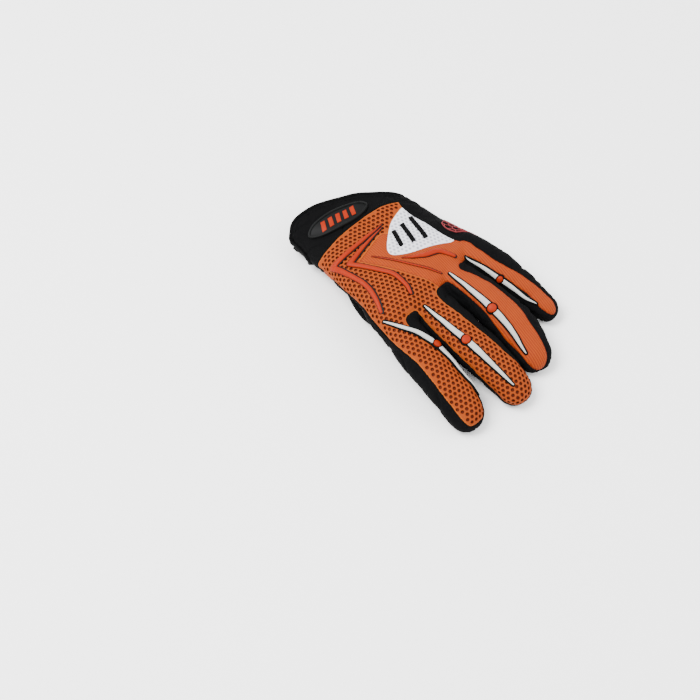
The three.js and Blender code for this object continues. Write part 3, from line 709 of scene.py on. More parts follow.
def cut_panels(skin):
    """The skin of the hand cut into its sewn panels."""
    rim = front_outline(RIM_LINE)
    front_line = front_outline(CUFF_SEAM_LINE[::-1])
    rows, triangles = skin.rows, skin.triangles
    gloved, _ = split(rows, triangles, outline_field(rows, rim))
    front, cuff = split(*gloved, outline_field(gloved[0], front_line))
    field = smoothed(back_field(front[0][:, :3]), front[1], SEAM_SMOOTHING)
    back, palm = split(*front, field)
    white_line = rounded(plan(WHITE_OUTLINE), sharp=(0, 12, 13))
    white, rest = split(*back, outline_field(back[0], white_line))
    knit_line = rounded(plan(KNIT_OUTLINE), sharp=(4, 14, 15, 16, 17))
    knit, mesh = split(*rest, outline_field(rest[0], knit_line))
    gusset_line = rounded(plan(GUSSET_OUTLINE), sharp=(0, 2, 3, 5))
    gusset, palm = split(*palm, outline_field(palm[0], gusset_line))
    panels = {"cuff": cuff, "palm": palm, "white": white, "knit": knit, "mesh": mesh, "gusset": gusset}
    return {name: main_part(*panel) for name, panel in panels.items()}


def boundary_edges(triangles):
    """The edges that one triangle alone has."""
    edges = all_edges(triangles)
    _, first, counts = np.unique(np.sort(edges, axis=1), axis=0, return_index=True, return_counts=True)
    return edges[first[counts == 1]]


def point_tree(points):
    """A tree that finds the nearest of some points."""
    tree = kdtree.KDTree(len(points))
    for i, point in enumerate(points):
        tree.insert(point, i)
    tree.balance()
    return tree


def edge_distance(points, triangles):
    """How far each vertex is from the mesh's nearest edge."""
    border = np.unique(boundary_edges(triangles))
    tree = point_tree(points[border][:, :3])
    return np.array([tree.find(point)[2] for point in points[:, :3]])


def thicken(outer, triangles, inner):
    """A closed sheet: the outer skin, an inner skin with the same faces, and the walls at its edge."""
    count = len(outer)
    border = boundary_edges(triangles)
    a, b = border[:, 0], border[:, 1]
    walls = np.vstack([np.stack([b, a, a + count], 1), np.stack([b, a + count, b + count], 1)])
    return np.vstack([outer, inner]), np.vstack([triangles, triangles[:, ::-1] + count, walls])


def puffed(rows, distance, sink, puff):
    """Rows moved out along their normals: low at the seams and full away from them."""
    height = puff * (1 - np.exp(-distance / PUFF_REACH)) - sink * np.exp(-distance / SINK_REACH)
    return rows[:, :3] + rows[:, 3:] * height[:, None]


def unwrapped(points, triangles):
    """A first flat place for each vertex, true in angles but not in size."""
    sheet = new_object("unwrapping", points, triangles)
    bpy.context.view_layer.objects.active = sheet
    sheet.select_set(True)
    bpy.ops.object.mode_set(mode="EDIT")
    bpy.ops.mesh.select_all(action="SELECT")
    bpy.ops.uv.unwrap(method="CONFORMAL", margin=0)
    bpy.ops.object.mode_set(mode="OBJECT")
    layer = sheet.data.uv_layers[0].uv
    values = np.empty(len(layer) * 2)
    layer.foreach_get("vector", values)
    vertices = np.empty(len(sheet.data.loops), np.int64)
    sheet.data.loops.foreach_get("vertex_index", vertices)
    flat = np.zeros((len(points), 2))
    flat[vertices] = values.reshape(-1, 2)
    bpy.data.objects.remove(sheet)
    a, b, c = (flat[triangles[:, k]] for k in range(3))
    flat_area = np.abs((b - a)[:, 0] * (c - a)[:, 1] - (b - a)[:, 1] * (c - a)[:, 0]).sum() / 2
    return (flat - flat.mean(0)) * math.sqrt(surface_area(points, triangles) / flat_area)


def relaxed(flat, points, triangles, times=2500):
    """Flat places moved until each triangle is as near as it can be to its own size and shape."""
    corners = points[triangles][:, :, :3]
    ahead = corners[:, 1] - corners[:, 0]
    length = np.maximum(np.linalg.norm(ahead, axis=1), 1e-9)
    other = corners[:, 2] - corners[:, 0]
    along = dots(other, ahead) / length
    away = np.sqrt(np.maximum(dots(other, other) - along ** 2, 0))
    own = np.stack([np.zeros(len(length)), length, along + 1j * away], 1)
    own = own - own.mean(1, keepdims=True)
    weight = np.repeat(length * away + 1e-6, 3)
    indices = triangles.reshape(-1)
    total = np.bincount(indices, weight, len(points))
    places = flat[:, 0] + 1j * flat[:, 1]
    if (np.conj(own) * places[triangles]).sum().real < 0:
        places = -places
    for _ in range(times):
        now = places[triangles]
        middle = now.mean(1, keepdims=True)
        turn = (np.conj(own) * (now - middle)).sum(1, keepdims=True)
        wanted = (middle + own * turn / np.maximum(np.abs(turn), 1e-12)).reshape(-1)
        target = (np.bincount(indices, weight * wanted.real, len(points))
                  + 1j * np.bincount(indices, weight * wanted.imag, len(points))) / total
        places = places + 1.6 * (target - places)
    return np.stack([places.real, places.imag], 1)


class FlatPanel:
    """A panel laid flat: the flat places of its vertices, and the way back to the panel."""

    def __init__(self, rows, triangles):
        coarse, coarse_triangles = main_part(*modified(rows, triangles, ("DECIMATE", {"ratio": FLAT_SHARE})))
        flat = relaxed(unwrapped(coarse, coarse_triangles), coarse, coarse_triangles)
        lying = coarse[:, :2] - coarse[:, :2].mean(0)
        left, _, right = np.linalg.svd((flat - flat.mean(0)).T @ lying)
        flat = np.hstack([flat @ left @ right, np.zeros((len(flat), 1))])
        tree = BVHTree.FromPolygons(coarse.tolist(), coarse_triangles.tolist())
        hits = [tree.find_nearest(Vector(point)) for point in rows[:, :3]]
        found = np.array([hit[0] for hit in hits])
        corners = coarse_triangles[[hit[2] for hit in hits]]
        self.rows = rows
        self.triangles = triangles
        self.flat = weighed(found, coarse[corners], flat[corners])
        self.tree = BVHTree.FromPolygons(self.flat.tolist(), triangles.tolist())
        self.edge_tree = point_tree(self.flat[np.unique(boundary_edges(triangles))])

    def edge_distance(self, flat):
        """Distances from the panel's edge: positive inside the panel."""
        away = np.array([self.edge_tree.find((x, y, 0))[2] for x, y in flat])
        inside = np.array([self.tree.find_nearest(Vector((x, y, 0)))[3] < 1e-3 for x, y in flat])
        return np.where(inside, away, -away)

    def back(self, flat):
        """The panel's rows at flat places, or at the nearest place of its edge."""
        hits = [self.tree.find_nearest(Vector((x, y, 0))) for x, y in flat]
        found = np.array([hit[0] for hit in hits])
        corners = self.triangles[[hit[2] for hit in hits]]
        return weighed(found, self.flat[corners], self.rows[corners])


def weighed(found, corners, values):
    """Corner values weighed by where a place lies in its triangle."""
    a, b, c = corners[:, 0], corners[:, 1], corners[:, 2]
    whole = np.cross(b - a, c - a)
    size = np.maximum(dots(whole, whole), 1e-12)
    wb = np.clip(dots(np.cross(found - a, c - a), whole) / size, 0, 1)
    wc = np.clip(dots(np.cross(b - a, found - a), whole) / size, 0, 1)
    weights = np.stack([np.clip(1 - wb - wc, 0, 1), wb, wc], 1)
    weights = weights / weights.sum(1, keepdims=True)
    return np.einsum("ij,ijk->ik", weights, values)


def perforated(panel, pitch, radius, margin, open_holes):
    """A net of six-sided tiles laid over a flat panel, each with a round hole or pit where there is room.

    Gives the panel's rows, where each lies from a hole's edge (0) to the middle between holes (1), and
    the triangles.
    """
    step = pitch * math.sqrt(3) / 2
    low = panel.flat.min(0) - pitch
    high = panel.flat.max(0) + pitch
    centres = np.array([
        (x, y)
        for j, y in enumerate(np.arange(low[1], high[1], step))
        for x in np.arange(low[0] + (j % 2) * pitch / 2, high[0], pitch)
    ])
    room = panel.edge_distance(centres)
    centres, room = centres[room > -pitch], room[room > -pitch]
    sides = 12
    turns = np.arange(sides) * 2 * math.pi / sides
    around = np.stack([np.cos(turns), np.sin(turns)], 1)
    to_edge = pitch / 2 / np.cos((turns + math.pi / 6) % (math.pi / 3) - math.pi / 6)
    if open_holes:
        profile = [radius, radius + 0.3, None]
        shades = [0.0, 0.7, 1.0]
    else:
        profile = [0.0, 0.55 * radius, radius, radius + 0.3, None]
        shades = [0.0, 0.0, 0.3, 0.9, 1.0]
    places, share, faces = [], [], []
    for centre, clearance in zip(centres, room):
        holed = clearance > radius + margin
        start = len(places)
        for distance, shade in zip(profile, shades):
            size = to_edge if distance is None else np.full(sides, max(distance, 0.01))
            places.extend(centre + around * size[:, None])
            share.extend([shade if holed else 1.0] * sides)
        for ring in range(len(profile) - 1):
            for k in range(sides):
                n = (k + 1) % sides
                a, b = start + ring * sides + k, start + ring * sides + n
                faces += [(a, a + sides, b), (b, a + sides, b + sides)]
        if not (holed and open_holes):
            middle = len(places)
            places.append(centre)
            share.append(0.0 if holed else 1.0)
            faces += [(middle, start + k, start + (k + 1) % sides) for k in range(sides)]
    places, share, faces = np.array(places), np.array(share), np.array(faces)
    _, first, inverse = np.unique(np.round(places, 3), axis=0, return_index=True, return_inverse=True)
    places, share, faces = places[first], share[first], inverse.reshape(-1)[faces]
    inside = panel.edge_distance(places) > 0
    faces = faces[inside[faces].any(1)]
    distinct = (faces[:, 0] != faces[:, 1]) & (faces[:, 1] != faces[:, 2]) & (faces[:, 0] != faces[:, 2])
    used, inverse = np.unique(faces[distinct], return_inverse=True)
    return panel.back(places[used]), share[used], inverse.reshape(-1, 3)


def chains(points, triangles, field):
    """The lines along which a field is zero on a mesh, as rows of places and normals."""
    field = np.where(np.abs(field) < 1e-4, 1e-4, field)
    positive = field > 0
    count = positive[triangles].sum(1)
    crossing = {}
    links = {}
    for triangle in triangles[(count > 0) & (count < 3)].tolist():
        ends = []
        for a, b in ((0, 1), (1, 2), (2, 0)):
            i, j = sorted((triangle[a], triangle[b]))
            if positive[i] != positive[j]:
                share = field[i] / (field[i] - field[j])
                crossing[(i, j)] = points[i] + share * (points[j] - points[i])
                ends.append((i, j))
        links.setdefault(ends[0], []).append(ends[1])
        links.setdefault(ends[1], []).append(ends[0])
    lines = []
    unused = set(links)
    starts = sorted(key for key in links if len(links[key]) == 1)
    for start in starts + sorted(links):
        if start not in unused:
            continue
        line = [start]
        unused.discard(start)
        while True:
            ahead = [key for key in links[line[-1]] if key in unused]
            if not ahead:
                break
            line.append(ahead[0])
            unused.discard(ahead[0])
        if start in links[line[-1]] and len(line) > 3:
            line.append(start)
        lines.append(np.array([crossing[key] for key in line]))
    return lines


def measured(line, pitch):
    """A line's rows at even distances along it."""
    steps = np.linalg.norm(np.diff(line[:, :3], axis=0), axis=1)
    length_at = np.concatenate([[0], np.cumsum(steps)])
    places = np.linspace(0, length_at[-1], max(2, int(round(length_at[-1] / pitch)) + 1))
    return np.stack([np.interp(places, length_at, column) for column in line.T], 1)


def stitches(lines, height):
    """Short round-ended threads in a row along each line."""
    points = []
    faces = []
    for line in lines:
        stations = measured(line, STITCH_LENGTH + STITCH_GAP)
        for before, after in zip(stations[:-1], stations[1:]):
            middle = (before + after) / 2
            forward = (after - before)[:3]
            size = np.linalg.norm(forward)
            if size < STITCH_LENGTH / 2:
                continue
            forward = forward / size
            up = unit(middle[3:])
            around = circle(np.cross(forward, up), up, THREAD_SIDES) * STITCH_RADIUS
            faces += ring_faces(len(points), len(THREAD_PROFILE), THREAD_SIDES)
            for along, thickness, lift in THREAD_PROFILE:
                raised = up * (height + lift * STITCH_RADIUS)
                centre = middle[:3] + forward * (along * STITCH_LENGTH) + raised
                points.extend(centre + around * thickness)
    return np.array(points), faces


def circle(side, up, sides):
    """Points of a unit circle in the plane of two directions."""
    turns = np.arange(sides)[:, None] * 2 * math.pi / sides
    return side * np.cos(turns) + up * np.sin(turns)


def piping(lines, radius, height):
    """A round cord along each line."""
    points = []
    faces = []
    for line in lines:
        stations = measured(line, CORD_STEP)
        closed = np.linalg.norm(line[0, :3] - line[-1, :3]) < 0.01
        if closed:
            stations = stations[:-1]
        places = stations[:, :3]
        if closed:
            forward = np.roll(places, -1, 0) - np.roll(places, 1, 0)
        else:
            forward = np.gradient(places, axis=0)
        ups = unit(stations[:, 3:])
        sides = unit(np.cross(unit(forward), ups))
        faces += ring_faces(len(points), len(places), CORD_SIDES, closed)
        for place, side, up in zip(places, sides, ups):
            points.extend(place + up * height + circle(side, up, CORD_SIDES) * radius)
    return np.array(points), faces


def relief(skin, field_of, height_of, low, levels):
    """A raised piece on the skin where a field is positive, from one height over the skin up to another."""
    field = field_of(skin.rows)
    near = (field[skin.triangles] > -2 * VOXEL).any(1)
    used, inverse = np.unique(skin.triangles[near], return_inverse=True)
    rows, triangles = finer(skin.rows[used], inverse.reshape(-1, 3), levels)
    rows[:, 3:] = unit(rows[:, 3:])
    part, _ = split(rows, triangles, field_of(rows))
    rows, triangles = main_part(*part)
    height = height_of(rows, field_of(rows))
    outer = rows[:, :3] + rows[:, 3:] * height[:, None]
    inner = rows[:, :3] + rows[:, 3:] * np.minimum(low, height - 0.1)[:, None]
    return thicken(outer, triangles, inner)


def crown(share, edge, top):
    """A height that rises from the edge value, where share is 1, to the top value, where it is 0."""
    return edge + (top - edge) * np.sqrt(np.clip(1 - share ** 2, 0, 1))


def line_reach(rows, line, half_widths, reach=9.0):
    """For each row, the nearest distance to a line and the line's half width there."""
    distance = np.full(len(rows), 1e3)
    half = np.full(len(rows), 1.0)
    points = rows[:, :3]
    near = ((points > line.min(0) - reach) & (points < line.max(0) + reach)).all(1)
    chosen = points[near]
    best = np.full(len(chosen), 1e3)
    best_half = np.ones(len(chosen))
    for a, b, half_a, half_b in zip(line[:-1], line[1:], half_widths[:-1], half_widths[1:]):
        d = b - a
        t = np.clip((chosen - a) @ d / max(d @ d, 1e-12), 0, 1)
        away = np.linalg.norm(chosen - a - t[:, None] * d, axis=1)
        width = half_a + (half_b - half_a) * t
        closer = away - width < best - best_half
        best = np.where(closer, away, best)
        best_half = np.where(closer, width, best_half)
    distance[near] = best
    half[near] = best_half
    return distance, half


def line_field(rows, line, half_widths):
    """How far inside a line's width each row lies."""
    distance, half = line_reach(rows, line, half_widths)
    return half - distance


def ridge(rows, line, half_widths, edge, top, full, least):
    """The height of a crowned ridge along a line, less where it is narrower than full, down to a share."""
    distance, half = line_reach(rows, line, half_widths)
    return crown(distance / half, edge, top) * np.clip(half / full, least, 1)


def rib_line(skin, table):
    """A rib's centre line on the skin, with its corner kept sharp, and its half widths."""
    if len(table) > 4:
        fine = np.vstack([spline(table[:RIB_CORNER + 1], 10)[:-1], spline(table[RIB_CORNER:], 10)])
    else:
        fine = spline(table, 12)
    return skin.below(plan(fine[:, :2])), np.maximum(fine[:, 2], 0.05) * RIB_WIDTH * RIB_SLIMMING / 2


def on_finger(skin, finger, stations, angles):
    """A line on the skin through stations and angles along a finger."""
    place = stations * (len(FINGERS[finger]) - 1) * ROWS_BETWEEN
    return skin.nearest(fingers[finger].surface(place, np.radians(angles)))[0]


def guard_lines(skin, finger):
    """The rear and the front line of a finger guard, each ending at its stud."""
    start, stud, end = np.array(GUARDS[finger], float)
    share = np.linspace(0, 1, GUARD_STEPS + 1)[:, None]
    rear = on_finger(skin, finger, *(start + (stud - start) * share).T)
    front = on_finger(skin, finger, *(stud + (end - stud) * share).T)
    return rear, front[::-1]


def slanted_bar(centre, length, width, angle, lean):
    """A plain slanted bar's outline in plan."""
    half = length / 2
    wide = width / 2
    rear = [[-wide - lean, -half], [wide - lean, -half]]
    front = [[wide + lean, half], [-wide + lean, half]]
    return turned(np.array(rear + front), angle) + centre


def plate_bar(place, width, pitch, angle):
    """One of a row of bars on a plate of a width."""
    return slanted_bar(place, width * BAR_REACH, pitch * BAR_SHARE, angle, pitch * BAR_LEAN)


def turned(flat, angle):
    """Plan points turned about the origin."""
    c, s = math.cos(angle), math.sin(angle)
    return flat @ np.array([[c, s], [-s, c]])


def oval_field(rows, centre, length, width, angle):
    """Roughly the distance in plan inside an oval."""
    flat = turned(rows[:, :2] - centre, -angle)
    ratio = np.hypot(flat[:, 0] / (length / 2), flat[:, 1] / (width / 2))
    slope = np.hypot(flat[:, 0] / (length / 2) ** 2, flat[:, 1] / (width / 2) ** 2)
    return (1 - ratio) * ratio / np.maximum(slope, 1e-4)


def upper_only(rows, field):
    """A field that is positive only where the skin looks up."""
    return np.where(rows[:, 5] > 0.05, field, -np.abs(field) - 1)


def lower_only(rows, field):
    """A field that is positive only where the skin looks down."""
    return np.where(rows[:, 5] < -0.05, field, -np.abs(field) - 1)


class Finish:
    """A procedural material, with its coordinates in millimetres."""

    def __init__(self, name, roughness, specular=0.15):
        self.material = bpy.data.materials.new(name)
        self.material.use_nodes = True
        self.nodes = self.material.node_tree.nodes
        self.shader = self.nodes["Principled BSDF"]
        self.set(self.shader, {"Roughness": roughness, "Specular IOR Level": specular})
        coordinates = self.nodes.new("ShaderNodeTexCoord").outputs["Object"]
        scaled = self.node("ShaderNodeVectorMath", {0: coordinates, "Scale": 1 / MM}, operation="SCALE")
        self.place = scaled.outputs[0]

    def set(self, node, values):
        """Gives a node's inputs numbers, colours, or other nodes' outputs."""
        for name, value in values.items():
            if isinstance(value, bpy.types.NodeSocket):
                self.material.node_tree.links.new(value, node.inputs[name])
            else:
                node.inputs[name].default_value = (*value, 1) if isinstance(value, tuple) else value

    def node(self, kind, values, **settings):
        node = self.nodes.new(kind)
        for name, value in settings.items():
            setattr(node, name, value)
        self.set(node, values)
        return node

    def noise(self, size, detail=3.0):
        values = {"Vector": self.place, "Scale": 1 / size, "Detail": detail}
        return self.node("ShaderNodeTexNoise", values).outputs["Fac"]

    def bands(self, direction, pitch, distortion=0.0):
        values = {"Vector": self.place, "Scale": math.pi / 10 / pitch, "Distortion": distortion}
        return self.node("ShaderNodeTexWave", values, bands_direction=direction).outputs["Fac"]

    def ramp(self, value, low, high):
        """A value brought to 0 at low and 1 at high."""
        values = {"Value": value, "From Min": low, "From Max": high}
        return self.node("ShaderNodeMapRange", values).outputs["Result"]

    def combined(self, operation, first, second):
        return self.node("ShaderNodeMath", {0: first, 1: second}, operation=operation).outputs[0]

    def number(self, name):
        """A named number of the mesh's vertices."""
        return self.node("ShaderNodeAttribute", {}, attribute_name=name).outputs["Fac"]

    def edge(self, width):
        """1 at the panel's edge, falling to 0 at a width from it."""
        return self.ramp(self.number("edge"), width, 0.25 * width)

    def mixed(self, factor, first, second):
        """A colour between two, each a colour or an output."""
        return self.node("ShaderNodeMix", {0: factor, 6: first, 7: second}, data_type="RGBA").outputs[2]

    def colour(self, output):
        self.set(self.shader, {"Base Color": output})

    def bump(self, height, depth):
        """Relief on top of what relief there is."""
        values = {"Height": height, "Distance": depth * MM, "Strength": BUMP_STRENGTH}
        normal = self.shader.inputs["Normal"]
        if normal.links:
            values["Normal"] = normal.links[0].from_socket
        self.set(self.shader, {"Normal": self.node("ShaderNodeBump", values).outputs["Normal"]})


def mesh_cloth():
    finish = Finish("orange mesh", 0.8)
    weave = finish.combined("MULTIPLY", finish.bands("X", 0.9, 1.5), finish.bands("Y", 0.9, 1.5))
    tone = finish.mixed(finish.noise(6), MESH_DARK, MESH_LIGHT)
    fine = finish.mixed(finish.ramp(weave, 0.0, 0.9), MESH_DARK, tone)
    # Painted shade: the mesh darkens towards the edge of each hole
    net = finish.mixed(finish.ramp(finish.number("between"), 0.0, 0.8), MESH_HOLE_SHADE, fine)
    finish.colour(finish.mixed(finish.edge(1.0), net, MESH_EDGE))
    finish.bump(weave, 0.12)
    finish.bump(finish.noise(1.4), 0.12)
    return finish.material


def knit_cloth():
    finish = Finish("orange knit", 0.75)
    ribs = finish.bands("X", 1.7, 1.2)
    rows = finish.bands("Y", 1.1, 2.0)
    rows = finish.combined("ADD", finish.combined("MULTIPLY", rows, 0.5), 0.5)
    loops = finish.combined("MULTIPLY", ribs, rows)
    tone = finish.mixed(finish.noise(9), KNIT_MIDDLE, KNIT_LIGHT)
    fine = finish.mixed(finish.ramp(loops, 0.0, 0.75), KNIT_DARK, tone)
    finish.colour(finish.mixed(finish.edge(0.9), fine, KNIT_DARK))
    finish.bump(loops, 0.22)
    finish.bump(finish.noise(0.7), 0.1)
    return finish.material


def white_cloth():
    finish = Finish("white knit", 0.7)
    tone = finish.mixed(finish.noise(8), (0.50, 0.50, 0.54), (0.60, 0.60, 0.64))
    # Painted shade: grey at the bottom of each dimple, fading out past its rim
    shaded_pits = finish.mixed(finish.ramp(finish.number("between"), 0.0, 0.9), (0.26, 0.26, 0.30), tone)
    finish.colour(shaded_pits)
    finish.bump(finish.noise(0.9), 0.15)
    return finish.material


def suede_cloth():
    finish = Finish("black suede", 0.9, CLOTH_SPECULAR)
    finish.colour(finish.mixed(finish.noise(2.5, detail=6), BLACK_DARK, (0.0030, 0.0030, 0.0034)))
    finish.bump(finish.noise(0.8, detail=5), 0.25)
    finish.bump(finish.noise(4), 0.3)
    return finish.material


def neoprene_cloth():
    finish = Finish("black neoprene", 0.8, CLOTH_SPECULAR)
    grain = finish.combined("MULTIPLY", finish.bands("DIAGONAL", 0.8, 1.0), finish.bands("Y", 0.9, 1.0))
    finish.colour(finish.mixed(grain, BLACK_DARK, (0.0032, 0.0032, 0.0035)))
    finish.bump(grain, 0.15)
    finish.bump(finish.noise(5), 0.3)
    return finish.material


def lining_cloth():
    finish = Finish("dark lining", 0.9)
    finish.colour(finish.mixed(finish.noise(0.8), (0.050, 0.006, 0.002), (0.090, 0.013, 0.003)))
    finish.bump(finish.noise(0.6), 0.2)
    return finish.material


def moulded(name, low, high, roughness, coat=0.0):
    """A moulded finish: a smooth surface with a faint grain and slightly uneven colour."""
    finish = Finish(name, roughness, MOULDED_SPECULAR)
    finish.colour(finish.mixed(finish.noise(7), low, high))
    uneven = finish.ramp(finish.noise(3), -1.2 * roughness, 2.2 * roughness)
    finish.set(finish.shader, {"Coat Weight": coat, "Coat Roughness": uneven})
    finish.bump(finish.noise(0.5, detail=2), 0.05)
    return finish.material


def thread(name, low, high):
    """A twisted thread's finish."""
    finish = Finish(name, 0.7, THREAD_SPECULAR)
    twist = finish.bands("DIAGONAL", 0.5)
    finish.colour(finish.mixed(twist, low, high))
    finish.bump(twist, 0.05)
    return finish.material


finishes = {
    "mesh": mesh_cloth(),
    "knit": knit_cloth(),
    "white": white_cloth(),
    "suede": suede_cloth(),
    "neoprene": neoprene_cloth(),
    "lining": lining_cloth(),
    "rubber": moulded("orange rubber", (0.17, 0.0085, 0.0), (0.22, 0.014, 0.001), 0.5),
    "dark_rubber": moulded("dark rubber", (0.0015, 0.0016, 0.0017), (0.0035, 0.0038, 0.0038), 0.55),
    "silver": moulded("silver print", (0.27, 0.27, 0.26), (0.42, 0.42, 0.40), 0.3, coat=0.3),
    "print": moulded("pink print", (0.13, 0.016, 0.020), (0.18, 0.030, 0.034), 0.5),
    "orange_thread": thread("orange thread", (0.20, 0.020, 0.001), (0.34, 0.050, 0.003)),
    "black_thread": thread("black thread", (0.0012, 0.0012, 0.0013), (0.0030, 0.0030, 0.0034)),
}


def finished(piece, finish, node=None):
    """A piece with its finish, on the one body. Where a node is given, that part of the imported model is
    hidden.
    """
    piece.data.materials.append(finishes[finish])
    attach(piece, "root")
    if node:
        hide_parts(node)
    return piece


def cloth_area(rows, triangles):
    """A panel's area in square metres."""
    return surface_area(rows, triangles) * MM * MM


# Sewn panels: node, finish, thickness, and the width and length of the cloth each is cut from
PANELS = {
    "palm": ("palm_shell", "suede", CLOTH, (0.25, 0.28)),
    "gusset": ("thumb_gusset", "knit", CLOTH, (0.022, 0.034)),
    "white": ("white_patch", "white", CLOTH, (0.045, 0.047)),
    "knit": ("back_knit", "knit", CLOTH, (0.09, 0.15)),
    "mesh": ("back_mesh", "mesh", MESH_CLOTH, (0.13, 0.17)),
    "cuff": ("cuff", "neoprene", CLOTH, (0.2, 0.055)),
}
# Pierced or dimpled cloth: pitch, hole radius, margin to the seams, how deep the rims sink, whether open
NETS = {
    "mesh": (HOLE_PITCH, HOLE_RADIUS, 0.5, 0.35, True),
    "white": (3.4, 0.95, 0.3, 0.4, False),
}
# Folds of the larger panels: length of their pattern, width, seed, and depth in millimetres
DEEP_FOLDS = [(42, 0.16, 3, 0.9), (24, 0.2, 4, 0.5)]
SHALLOW_FOLDS = [(60, 0.1, 5, 0.35)]
FOLDS = {"palm": DEEP_FOLDS, "cuff": DEEP_FOLDS, "knit": SHALLOW_FOLDS, "mesh": SHALLOW_FOLDS}
FOLD_MARGIN = 4
# Rows of stitches: thread, and distance from the seam
STITCHING = {
    "knit": ("orange_thread", SEAM_INSET),
    "palm": ("black_thread", SEAM_INSET),
    "cuff": ("black_thread", 2.0),
}


def make_skin():
    """The skin of hand and fingers, slightly uneven."""
    points, triangles = fused_skin([hand, *fingers.values()])
    normals = vertex_normals(points, triangles)
    uneven = 0.45 * waves(points, 34, 1) + 0.16 * waves(points, 11, 2)
    return Skin(points + normals * uneven[:, None], triangles)


def make_cloth(name, node, finish, thickness, flat, surface, triangles, area, **numbers):
    """A panel of cloth whose outer face is a surface, with numbers for its material."""
    sheet = thicken(surface[:, :3], triangles, surface[:, :3] - surface[:, 3:] * thickness)
    numbers = {key: np.tile(values, 2) for key, values in numbers.items()}
    piece = finished(new_object(name, *sheet, **numbers), finish, node)


def make_stitches(name, lines, kind, height=0, least=12):
    """Stitches along those lines that have more than so many rows."""
    lines = [line for line in lines if len(line) > least]
    finished(new_object(name, *stitches(lines, height - STITCH_SINK)), kind)


def make_panel(name, rows, triangles):
    """A puffed and folded panel with its holes and stitches, and under an open net the dark lining."""
    node, finish, thickness, flat = PANELS[name]
    distance = smoothed(edge_distance(rows, triangles), triangles, 2)
    outer = puffed(rows, distance, EDGE_SINK, PUFF)
    depth = sum(folds(rows, *pattern) * size for *pattern, size in FOLDS.get(name, ()))
    outer = outer + rows[:, 3:] * (depth * np.clip(distance / FOLD_MARGIN, 0, 1))[:, None]
    outer[:, 2] = np.maximum(outer[:, 2], PANEL_FLOOR_GAP)
    surface = np.hstack([outer, rows[:, 3:]])
    area = cloth_area(surface, triangles)
    kind, inset = STITCHING.get(name, (None, 0))
    seams = chains(surface, triangles, distance - inset) if kind else []
    between = np.ones(len(rows))
    if name in NETS:
        pitch, radius, margin, rim_depth, open_holes = NETS[name]
        if open_holes:
            lining = lowered(surface, LINING_DEPTH)
            make_cloth(f"{name}_lining", None, "lining", LINING_CLOTH, flat, lining, triangles, area)
        panel = FlatPanel(np.hstack([surface, distance[:, None]]), triangles)
        columns, between, triangles = perforated(panel, pitch, radius, margin, open_holes)
        distance = columns[:, 6]
        surface = np.hstack([columns[:, :3], unit(columns[:, 3:6])])
        surface = lowered(surface, (rim_depth * (1 - between) ** 1.5)[:, None])
    make_cloth(
        f"{name}_panel", node, finish, thickness, flat, surface, triangles, area,
        edge=distance, between=between,
    )
    if kind:
        make_stitches(f"{name}_stitches", seams, kind)


def lowered(surface, depth):
    """A surface moved in along its normals."""
    return np.hstack([surface[:, :3] - surface[:, 3:] * depth, surface[:, 3:]])


def make_rim(skin):
    """The rolled binding round the cuff's opening, with a row of stitches below it."""
    field = outline_field(skin.rows, front_outline(RIM_LINE))
    loops = [loop for loop in chains(skin.rows, skin.triangles, field) if len(loop) > RIM_LEAST]
    finished(new_object("cuff_binding", *piping(loops, CORD_RADIUS, -CORD_SINK)), "neoprene")
    rows = chains(skin.rows, skin.triangles, field - RIM_STITCH_INSET)
    make_stitches("rim_stitches", rows, "black_thread", PUFF, RIM_LEAST)


def make_thumb(skin):
    """The thumb's shell and the round patch on its ball, both clear of the palm."""
    points, triangles = fused_skin([thumb])
    normals = vertex_normals(points, triangles)
    points = points + normals * (0.3 * waves(points, 22, 6))[:, None]
    points[:, 2] = np.maximum(points[:, 2], THUMB_FLOOR_GAP)
    own = Skin(points, triangles)
    part, _ = split(own.rows, triangles, skin.outside(points) - SEAM_GAP)
    rows, triangles = main_part(*part)
    middle = 2 * ROWS_BETWEEN
    centre = thumb.rows[middle, :3]
    forward = unit(thumb.rows[middle + 1, :3] - thumb.rows[middle - 1, :3])
    place = centre[:2] + forward[:2] * THUMB_PATCH_LENGTH / 5
    angle = math.atan2(forward[1], forward[0])
    oval = oval_field(rows, place, THUMB_PATCH_LENGTH, THUMB_PATCH_WIDTH, angle)
    field = np.minimum(lower_only(rows, oval), centre[2] - rows[:, 2])
    patch, shell = split(rows, triangles, field)
    for name, finish, kind, (rows, triangles), flat in (
        ("thumb", "suede", "black_thread", main_part(*shell), (0.075, 0.08)),
        ("thumb_patch", "knit", "orange_thread", main_part(*patch), (0.034, 0.03)),
    ):
        distance = smoothed(edge_distance(rows, triangles), triangles, 2)
        outer = puffed(rows, distance, EDGE_SINK, THUMB_PUFF)
        outer[:, 2] = np.maximum(outer[:, 2], FLOOR_GAP)
        surface = np.hstack([outer, rows[:, 3:]])
        area = cloth_area(surface, triangles)
        make_cloth(f"{name}_panel", name, finish, CLOTH, flat, surface, triangles, area, edge=distance)
        make_stitches(f"{name}_stitches", chains(surface, triangles, distance - SEAM_INSET), kind)


def make_relief(skin, name, field_of, height_of, low, finish, node=None, levels=FINE, degrees=SHARP_ANGLE):
    piece = new_object(name, *relief(skin, field_of, height_of, low, levels))
    piece.data.set_sharp_from_angle(angle=math.radians(degrees))
    return finished(piece, finish, node)


